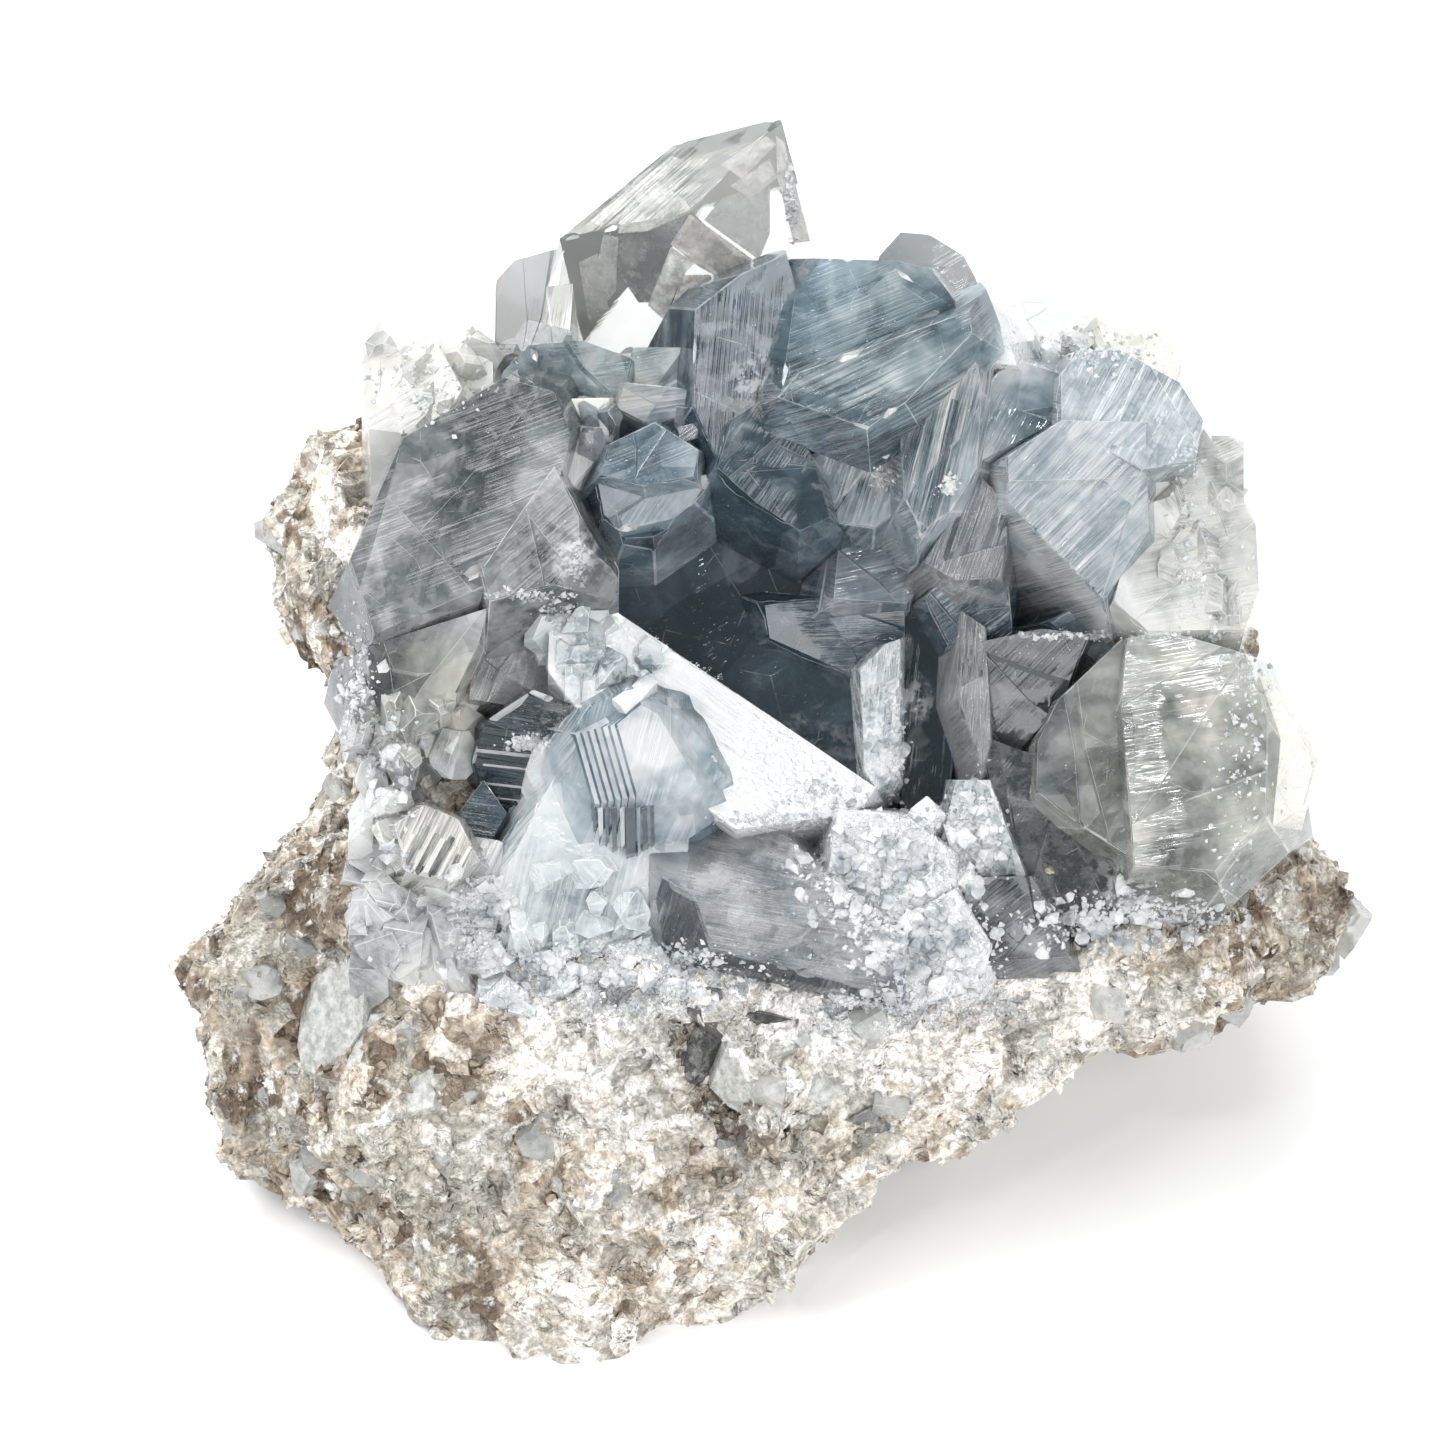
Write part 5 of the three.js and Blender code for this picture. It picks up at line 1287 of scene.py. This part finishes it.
# Materials.
class Shader:
    """A material with its Principled BSDF, and short ways to add nodes before it."""

    def __init__(self, name, **values):
        self.material = bpy.data.materials.new(name)
        self.material.use_nodes = True
        self.tree = self.material.node_tree
        self.body = self.tree.nodes["Principled BSDF"]
        for title, value in values.items():
            self.fill(self.body.inputs[title.replace("_", " ")], value)

    def fill(self, socket, value):
        """Puts a number, a colour, a place or another node's output into a socket."""
        if isinstance(value, bpy.types.NodeSocket):
            self.tree.links.new(value, socket)
        elif socket.type == "RGBA":
            socket.default_value = (*value, 1)
        else:
            socket.default_value = value

    def node(self, kind, settings=None, **values):
        node = self.tree.nodes.new("ShaderNode" + kind)
        for title, setting in (settings or {}).items():
            setattr(node, title, setting)
        for title, value in values.items():
            self.fill(node.inputs[title.replace("_", " ")], value)
        return node

    def listed(self, kind, settings, places, values):
        """A node whose inputs are told apart by their place."""
        node = self.node(kind, settings)
        for place, value in zip(places, values):
            self.fill(node.inputs[place], value)
        return node

    def put(self, source, title):
        self.fill(self.body.inputs[title], source)

    def coords(self):
        return self.node("TexCoord").outputs["Object"]

    def stretched(self, vector, across, along):
        return self.node("Mapping", Vector=vector, Scale=(across, along, 1)).outputs["Vector"]

    def noise(self, scale, detail=3, rough=0.5, vector=None, distortion=0):
        return self.node(
            "TexNoise", Vector=vector or self.coords(), Scale=scale, Detail=detail, Roughness=rough,
            Distortion=distortion,
        ).outputs["Fac"]

    def math(self, operation, a, b, c=0.0, clamp=False):
        settings = {"operation": operation, "use_clamp": clamp}
        return self.listed("Math", settings, (0, 1, 2), (a, b, c)).outputs[0]

    def vector(self, operation, *values, output="Vector"):
        return self.listed("VectorMath", {"operation": operation}, (0, 1, 2), values).outputs[output]

    def brighter(self, colour, factor):
        return self.node("VectorMath", {"operation": "SCALE"}, Vector=colour, Scale=factor).outputs["Vector"]

    def distance(self, coords, place):
        """Metres from a place on the face."""
        return self.vector("DISTANCE", coords, FACE_TO_PART @ Vector(place), output="Value")

    def spread(self, value, low, high, to_low=0.0, to_high=1.0):
        return self.node(
            "MapRange", Value=value, From_Min=low, From_Max=high, To_Min=to_low, To_Max=to_high
        ).outputs["Result"]

    def ramp(self, value, *stops):
        node = self.node("ValToRGB", Fac=value)
        ramp = node.color_ramp
        while len(ramp.elements) < len(stops):
            ramp.elements.new(0.5)
        for element, (place, colour) in zip(ramp.elements, stops):
            element.position = place
            element.color = (*colour, 1)
        return node.outputs["Color"]

    def mix(self, share, a, b):
        return self.listed("Mix", {"data_type": "RGBA"}, (0, 6, 7), (share, a, b)).outputs[2]

    def attribute(self, name):
        return self.node("Attribute", {"attribute_name": name}).outputs["Fac"]

    def bump(self, height, distance, strength=1.0, **normal):
        return self.node(
            "Bump", Height=height, Distance=distance, Strength=strength, **normal
        ).outputs["Normal"]


def spots_near(group, spots, margin):
    """The spots that reach a crystal of the group."""
    middles = [face_middle(CRYSTALS[name]["face"]) for name, look in LOOKS.items() if look[0] == group]
    for spot in spots:
        if min(math.hypot(spot[0] - x, spot[1] - y) for x, y in middles) < spot[3] + margin:
            yield spot


def spotted(shader, group, coords, ragged):
    """How much darker and how much more frosted the spots make the crystals of a group."""
    shift, patch = 0.0, 0.0
    for x, y, z, radius, darker, frosty in spots_near(group, SPOTS, SPOT_MARGIN):
        wavy = shader.math("MULTIPLY", ragged, radius * 0.001)
        away = shader.math("ADD", shader.distance(coords, (x, y, z)), wavy)
        near = shader.spread(away, radius * 0.0016, radius * 0.0009)
        shift = shader.math("MULTIPLY_ADD", near, darker, shift)
        if frosty:
            patch = shader.math("MAXIMUM", shader.math("MULTIPLY", near, frosty), patch)
    return shift, patch


def greened(shader, group, coords, colour):
    """The colour, greener near the green places."""
    share = 0.0
    for x, y, z, radius, most in spots_near(group, GREENER, GREEN_MARGIN):
        away = shader.distance(coords, (x, y, z))
        near = shader.spread(away, radius * 0.0013, radius * 0.0007, 0, most)
        share = shader.math("MAXIMUM", near, share)
    return shader.mix(share, colour, shader.vector("MULTIPLY", colour, GREEN_TINT))


def crystal_level(shader, group, coords, lines, striae, growth, shift):
    """How dark a crystal is at each point: 0 is its lightest tone, 1 its darkest."""
    shards = shader.node(
        "TexVoronoi", {"voronoi_dimensions": "2D", "distance": "MANHATTAN"},
        Vector=shader.stretched(lines, 0.24, 0.09), Scale=1.0,
    )
    banding = shader.math("SUBTRACT", growth, 1.0)
    level = shader.math(
        "MULTIPLY_ADD", shader.math("MULTIPLY", banding, striae), -0.42, shader.attribute("tone")
    )
    swing = DARK_CLOUDS if group == "dark" else CLOUDS
    cloud = shader.noise(85, 3, 0.6, coords, 0.6)
    fine_cloud = shader.noise(330, 2, 0.7, coords, 1.2)
    level = shader.math("ADD", level, shader.spread(cloud, 0.3, 0.7, swing, -swing))
    level = shader.math("ADD", level, shader.spread(fine_cloud, 0.3, 0.7, 0.11, -0.11))
    level = shader.math("ADD", level, shader.spread(shards.outputs["Color"], 0.25, 0.75, 0.10, -0.10))
    return shader.math("ADD", level, shift)


def crystal_whiteness(shader, coords, lines, patchy, ragged, frosted):
    """Frost, veils, short bright dashes and the edges of cracks."""
    wisp = shader.spread(shader.noise(210, 3, 0.65, coords, 1.6), 0.56, 0.66)
    veil = shader.math("MULTIPLY", wisp, 0.16)
    dashes = shader.noise(1, 1, 0.5, shader.stretched(lines, 9, 2.6))
    speck = shader.spread(dashes, 0.71, 0.76, 0, 0.75)
    speck = shader.math("MULTIPLY", speck, patchy, clamp=True)
    cells = shader.node(
        "TexVoronoi", {"voronoi_dimensions": "2D", "feature": "DISTANCE_TO_EDGE"},
        Vector=lines, Scale=CRACK_SCALE,
    )
    crack = shader.spread(cells.outputs["Distance"], 0.002, 0.010, 0.36, 0)
    crack = shader.math("MULTIPLY", crack, shader.spread(ragged, 0.50, 0.62))
    white = shader.math("MAXIMUM", shader.math("MAXIMUM", frosted, veil), speck)
    return shader.math("MAXIMUM", white, crack)


def crystal_material(name, group, tones, transmission, smooth, absorbed=None, density=0):
    """See-through celestite with growth lines, clouds, cracks and frost."""
    shader = Shader(name, IOR=CELESTITE_IOR, Transmission_Weight=transmission)
    shader.body.distribution = "GGX"
    coords = shader.coords()
    lines = shader.node("UVMap", {"uv_map": "lines"}).outputs["UV"]
    patchy = shader.spread(shader.noise(130, 2, 0.6, coords, 0.8), 0.40, 0.62, 0.12, 1.25)
    striae = shader.math("MULTIPLY", shader.attribute("striae"), patchy, clamp=True)
    wide_lines = shader.spread(shader.noise(1, 1, 0.6, shader.stretched(lines, 1.4, 0.05)), 0.38, 0.62)
    fine_lines = shader.spread(shader.noise(1, 2, 0.65, shader.stretched(lines, 4.8, 0.10)), 0.40, 0.60)
    growth = shader.math("ADD", wide_lines, fine_lines)
    ragged = shader.noise(500, 2, 0.65, coords)
    shift, patch = spotted(shader, group, coords, ragged)
    frost = shader.math("ADD", shader.attribute("frost"), patch, clamp=True)
    colour = shader.ramp(crystal_level(shader, group, coords, lines, striae, growth, shift), *tones)
    colour = greened(shader, group, coords, colour)
    grain = shader.spread(shader.noise(1100, 2, 0.7, coords), 0.44, 0.56)
    frosted = shader.math("MULTIPLY", frost, grain, clamp=True)
    white = crystal_whiteness(shader, coords, lines, patchy, ragged, frosted)
    shader.put(shader.mix(white, colour, FROST_WHITE), "Base Color")
    shader.put(shader.math("MULTIPLY_ADD", white, 0.40, smooth), "Roughness")
    normal = shader.bump(growth, 0.00016, striae)
    normal = shader.bump(shader.noise(420, 1, 0.5, coords), 0.00010, 0.6, Normal=normal)
    if group == "pale":
        normal = shader.bump(grain, 0.00008, frost, Normal=normal)
    shader.put(normal, "Normal")
    if absorbed:
        volume = shader.node("VolumeAbsorption", Color=absorbed, Density=density)
        output = shader.tree.nodes["Material Output"]
        shader.fill(output.inputs["Volume"], volume.outputs["Volume"])
    return shader.material


def rock_patches(shader, coords, facet_share, lighter):
    """How light the rock is at each point."""
    x = shader.node("SeparateXYZ", Vector=coords).outputs["X"]
    patch = shader.spread(shader.noise(75, 4, 0.7, coords, 0.5), 0, 1, -0.30, 1.30)
    patch = shader.math("ADD", patch, shader.spread(facet_share, 0, 1, -0.14, 0.14))
    patch = shader.math("ADD", patch, shader.spread(x, -0.042, -0.008, -0.08 + lighter, lighter))
    for px, py, pz, radius, shade in ROCK_SHADES:
        away = shader.distance(coords, (px, py, pz))
        near = shader.spread(away, radius * 0.0013, radius * 0.0005)
        patch = shader.math("MULTIPLY_ADD", near, shade, patch)
    return patch


def rock_colour(shader, coords, patch, glassy_share, grain):
    """Brown to white rock with dirt, greenish and glassy bits and sparkling grains."""
    colour = shader.ramp(patch, *ROCK_TONES)
    dirt = shader.spread(shader.noise(240, 4, 0.7, coords), 0.50, 0.62, 0, 0.75)
    colour = shader.mix(dirt, colour, DIRT)
    green = shader.spread(shader.noise(120, 2, 0.6, coords), 0.52, 0.62, 0, 0.6)
    colour = shader.mix(green, colour, GREENISH_ROCK)
    from_middle = shader.spread(shader.distance(coords, WHITEST_PLACE), 0.008, 0.016)
    colour = shader.mix(from_middle, colour, shader.vector("MULTIPLY", colour, WARM_TINT))
    colour = shader.mix(shader.spread(glassy_share, 0.74, 0.76, 0, 0.65), colour, GLASSY_BIT)
    speckle = shader.spread(shader.noise(1500, 2, 0.75, coords), 0.38, 0.62, 0.66, 1.25)
    colour = shader.brighter(colour, speckle)
    sugary = shader.spread(shader.noise(150, 2, 0.6, coords), 0.42, 0.58, 0.25, 1)
    sparkle = shader.math("MULTIPLY", shader.spread(grain, 0.53, 0.66), sugary)
    return shader.mix(sparkle, colour, (0.93, 0.92, 0.90))


def rock_material(name, lighter=0.0):
    """Granular rock, broken into small leaning facets."""
    shader = Shader(name, IOR=ROCK_IOR)
    coords = shader.coords()
    warp = shader.node("TexNoise", Vector=coords, Scale=300, Detail=1).outputs["Color"]
    moved = shader.vector("MULTIPLY_ADD", warp, (FACET_WARP, FACET_WARP, FACET_WARP), coords)
    facets = shader.node("TexVoronoi", Vector=moved, Scale=480).outputs
    facet = shader.node("SeparateXYZ", Vector=facets["Color"]).outputs
    grain = shader.noise(900, 3, 0.7, coords)
    patch = rock_patches(shader, coords, facet["X"], lighter)
    shader.put(rock_colour(shader, coords, patch, facet["Y"], grain), "Base Color")
    shader.put(shader.spread(grain, 0.3, 0.7, 0.9, 0.45), "Roughness")
    apart = shader.vector("SUBTRACT", moved, facets["Position"])
    leaning = shader.vector("SUBTRACT", facets["Color"], (0.5, 0.5, 0.5))
    tilt = shader.vector("DOT_PRODUCT", apart, leaning, output="Value")
    crumb = shader.node("TexVoronoi", Vector=coords, Scale=700).outputs["Distance"]
    normal = shader.bump(tilt, 1.2, 0.9)
    normal = shader.bump(shader.spread(crumb, 0, 0.6), 0.0006, 0.5, Normal=normal)
    normal = shader.bump(grain, 0.0008, 0.8, Normal=normal)
    shader.put(normal, "Normal")
    return shader.material


def plate_material(name, transmission, *tones):
    """Thin broken plates, each of its own tone."""
    shader = Shader(name, IOR=CELESTITE_IOR, Transmission_Weight=transmission)
    tint = shader.ramp(shader.attribute("tone"), *tones)
    patch = shader.spread(shader.noise(450, 5, 0.7), 0.46, 0.6, 0.0, 0.6)
    speckle = shader.spread(shader.noise(1300, 4, 0.75), 0.38, 0.62, 0.6, 1.2)
    shader.put(shader.brighter(shader.mix(patch, tint, PLATE_DUST), speckle), "Base Color")
    shader.put(shader.spread(shader.noise(900, 3), 0.3, 0.7, 0.1, 0.4), "Roughness")
    shader.put(shader.bump(shader.noise(1500, 3), 0.0001, 0.6), "Normal")
    return shader.material


def grain_material(name, low, middle, high, transmission):
    """Small see-through grains, from darker to lighter ones."""
    shader = Shader(name, IOR=CELESTITE_IOR, Transmission_Weight=transmission)
    tint = shader.ramp(shader.noise(420, 3, 0.7), (0.36, low), (0.48, middle), (0.6, high))
    shader.put(tint, "Base Color")
    shader.put(shader.spread(shader.noise(500, 3), 0.3, 0.7, 0.05, 0.4), "Roughness")
    shader.put(shader.bump(shader.noise(1800, 3), 0.0002, 0.6), "Normal")
    return shader.material


def piece(name, mesh, material, node):
    mesh.materials.clear()
    mesh.materials.append(material)
    made = placed_object(name, mesh)
    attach(made, "root")
    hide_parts(node)


def crystal_piece(name, mesh, material):
    piece(name, mesh, material, "celestite_crystals")


def matrix_piece(name, mesh, material):
    piece(name, mesh, material, "matrix")


# The forms, in the order that their random draws follow.
grow_large_crystals()
for ridges in RIDGES:
    grow_ridges(*ridges)
grow_terrace()
grow_crown_strip()
peak_front = grow_peak()
grow_druses(DRUSES)
rock = matrix_rock()
grow_druses(EXTRA_DRUSES, surface_of([rock, *(mesh for group in groups.values() for mesh in group)]))

# The pieces of the crystals.
cracks = list(peak_cracks(peak_front))
for name, count, sizes, facing, seed in CRACKS:
    for plate in scattered_cracks(name, count, sizes, facing, seed):
        cracks.append((plate, COMMON_CRACK if seed % 3 else BRIGHT_CRACK))
crack_mesh = toned("inner_cracks", cracks)
grown = []
for group, meshes in groups.items():
    name = group + "_crystals"
    mesh = joined(name, meshes)
    lay_out_lines(mesh)
    grown.append(mesh)
    material, *finish = CRYSTAL_FINISHES[group]
    crystal_piece(name, mesh, crystal_material(material, group, *finish))
crystal_piece("inner_cracks", crack_mesh, plate_material("inner_cracks", 0.45, *CRACK_TONES))

# The pieces of the matrix, and the grains.
plate_mesh = toned("wall_plates", wall_plates(rock))
matrix_piece("wall_plates", plate_mesh, plate_material("wall_plates", 0.3, *PLATE_TONES))
surface = surface_of([*grown, rock])
sugar = scatter("sugar_grains", sugar_sites(surface, SUGAR, seed=4), **SUGAR_GRAINS)
lumps = scatter("sugar_lumps", sugar_sites(surface, LUMPS, seed=6), **SUGAR_LUMPS)
rock_grains = scatter("rock_grains", rock_sites(rock, count=9000, seed=12), **ROCK_GRAINS)
clear_places = rock_sites(rock, count=420, seed=8, lowest=-34)
clear_grains = scatter("clear_grains", clear_places, **CLEAR_GRAINS)
crystal_piece("sugar_grains", sugar, grain_material("sugar_grains", *SUGAR_FINISH))
crystal_piece("sugar_lumps", lumps, grain_material("sugar_lumps", *LUMP_FINISH))
matrix_piece("matrix_rock", rock, rock_material("matrix_rock"))
matrix_piece("rock_grains", rock_grains, rock_material("rock_grains", 0.04))
matrix_piece("clear_grains", clear_grains, grain_material("clear_grains", *CLEAR_GRAIN_FINISH))

# The floor.
floor_mesh = bpy.data.meshes.new("floor")
plane = bmesh.new()
bmesh.ops.create_grid(plane, x_segments=1, y_segments=1, size=FLOOR_SIZE)
plane.to_mesh(floor_mesh)
plane.free()
floor = placed_object("floor", floor_mesh)
floor_mesh.materials.append(Shader("floor_paper", Base_Color=FLOOR_COLOUR, Roughness=0.8).material)

# The studio.
world = bpy.data.worlds.new("studio")
world.use_nodes = True
world.node_tree.nodes["Background"].inputs["Color"].default_value = (0.93, 0.96, 1.0, 1)
world.node_tree.nodes["Background"].inputs["Strength"].default_value = 0.42
bpy.context.scene.world = world


def aimed(thing, at, aim):
    thing.location = at
    thing.rotation_euler = (Vector(aim) - Vector(at)).to_track_quat("-Z", "Y").to_euler()


for name, at, size, watts in LAMPS:
    lamp = bpy.data.lights.new(name, "AREA")
    lamp.shape = "RECTANGLE"
    lamp.size, lamp.size_y = size
    lamp.energy = watts
    aimed(placed_object(name, lamp), at, LAMP_AIM)

target = FACE_TO_PART @ Vector(CAMERA_AIM)
camera_data = bpy.data.cameras.new("camera")
camera_data.sensor_width = 36
camera_data.lens = CAMERA_LENS
camera_data.clip_start = 0.01
camera = placed_object("camera", camera_data)
towards = Vector((0, -math.cos(CAMERA_LIFT), math.sin(CAMERA_LIFT)))
aimed(camera, target + towards * CAMERA_DISTANCE, target)
bpy.context.scene.camera = camera
bpy.context.scene.view_settings.view_transform = "Standard"
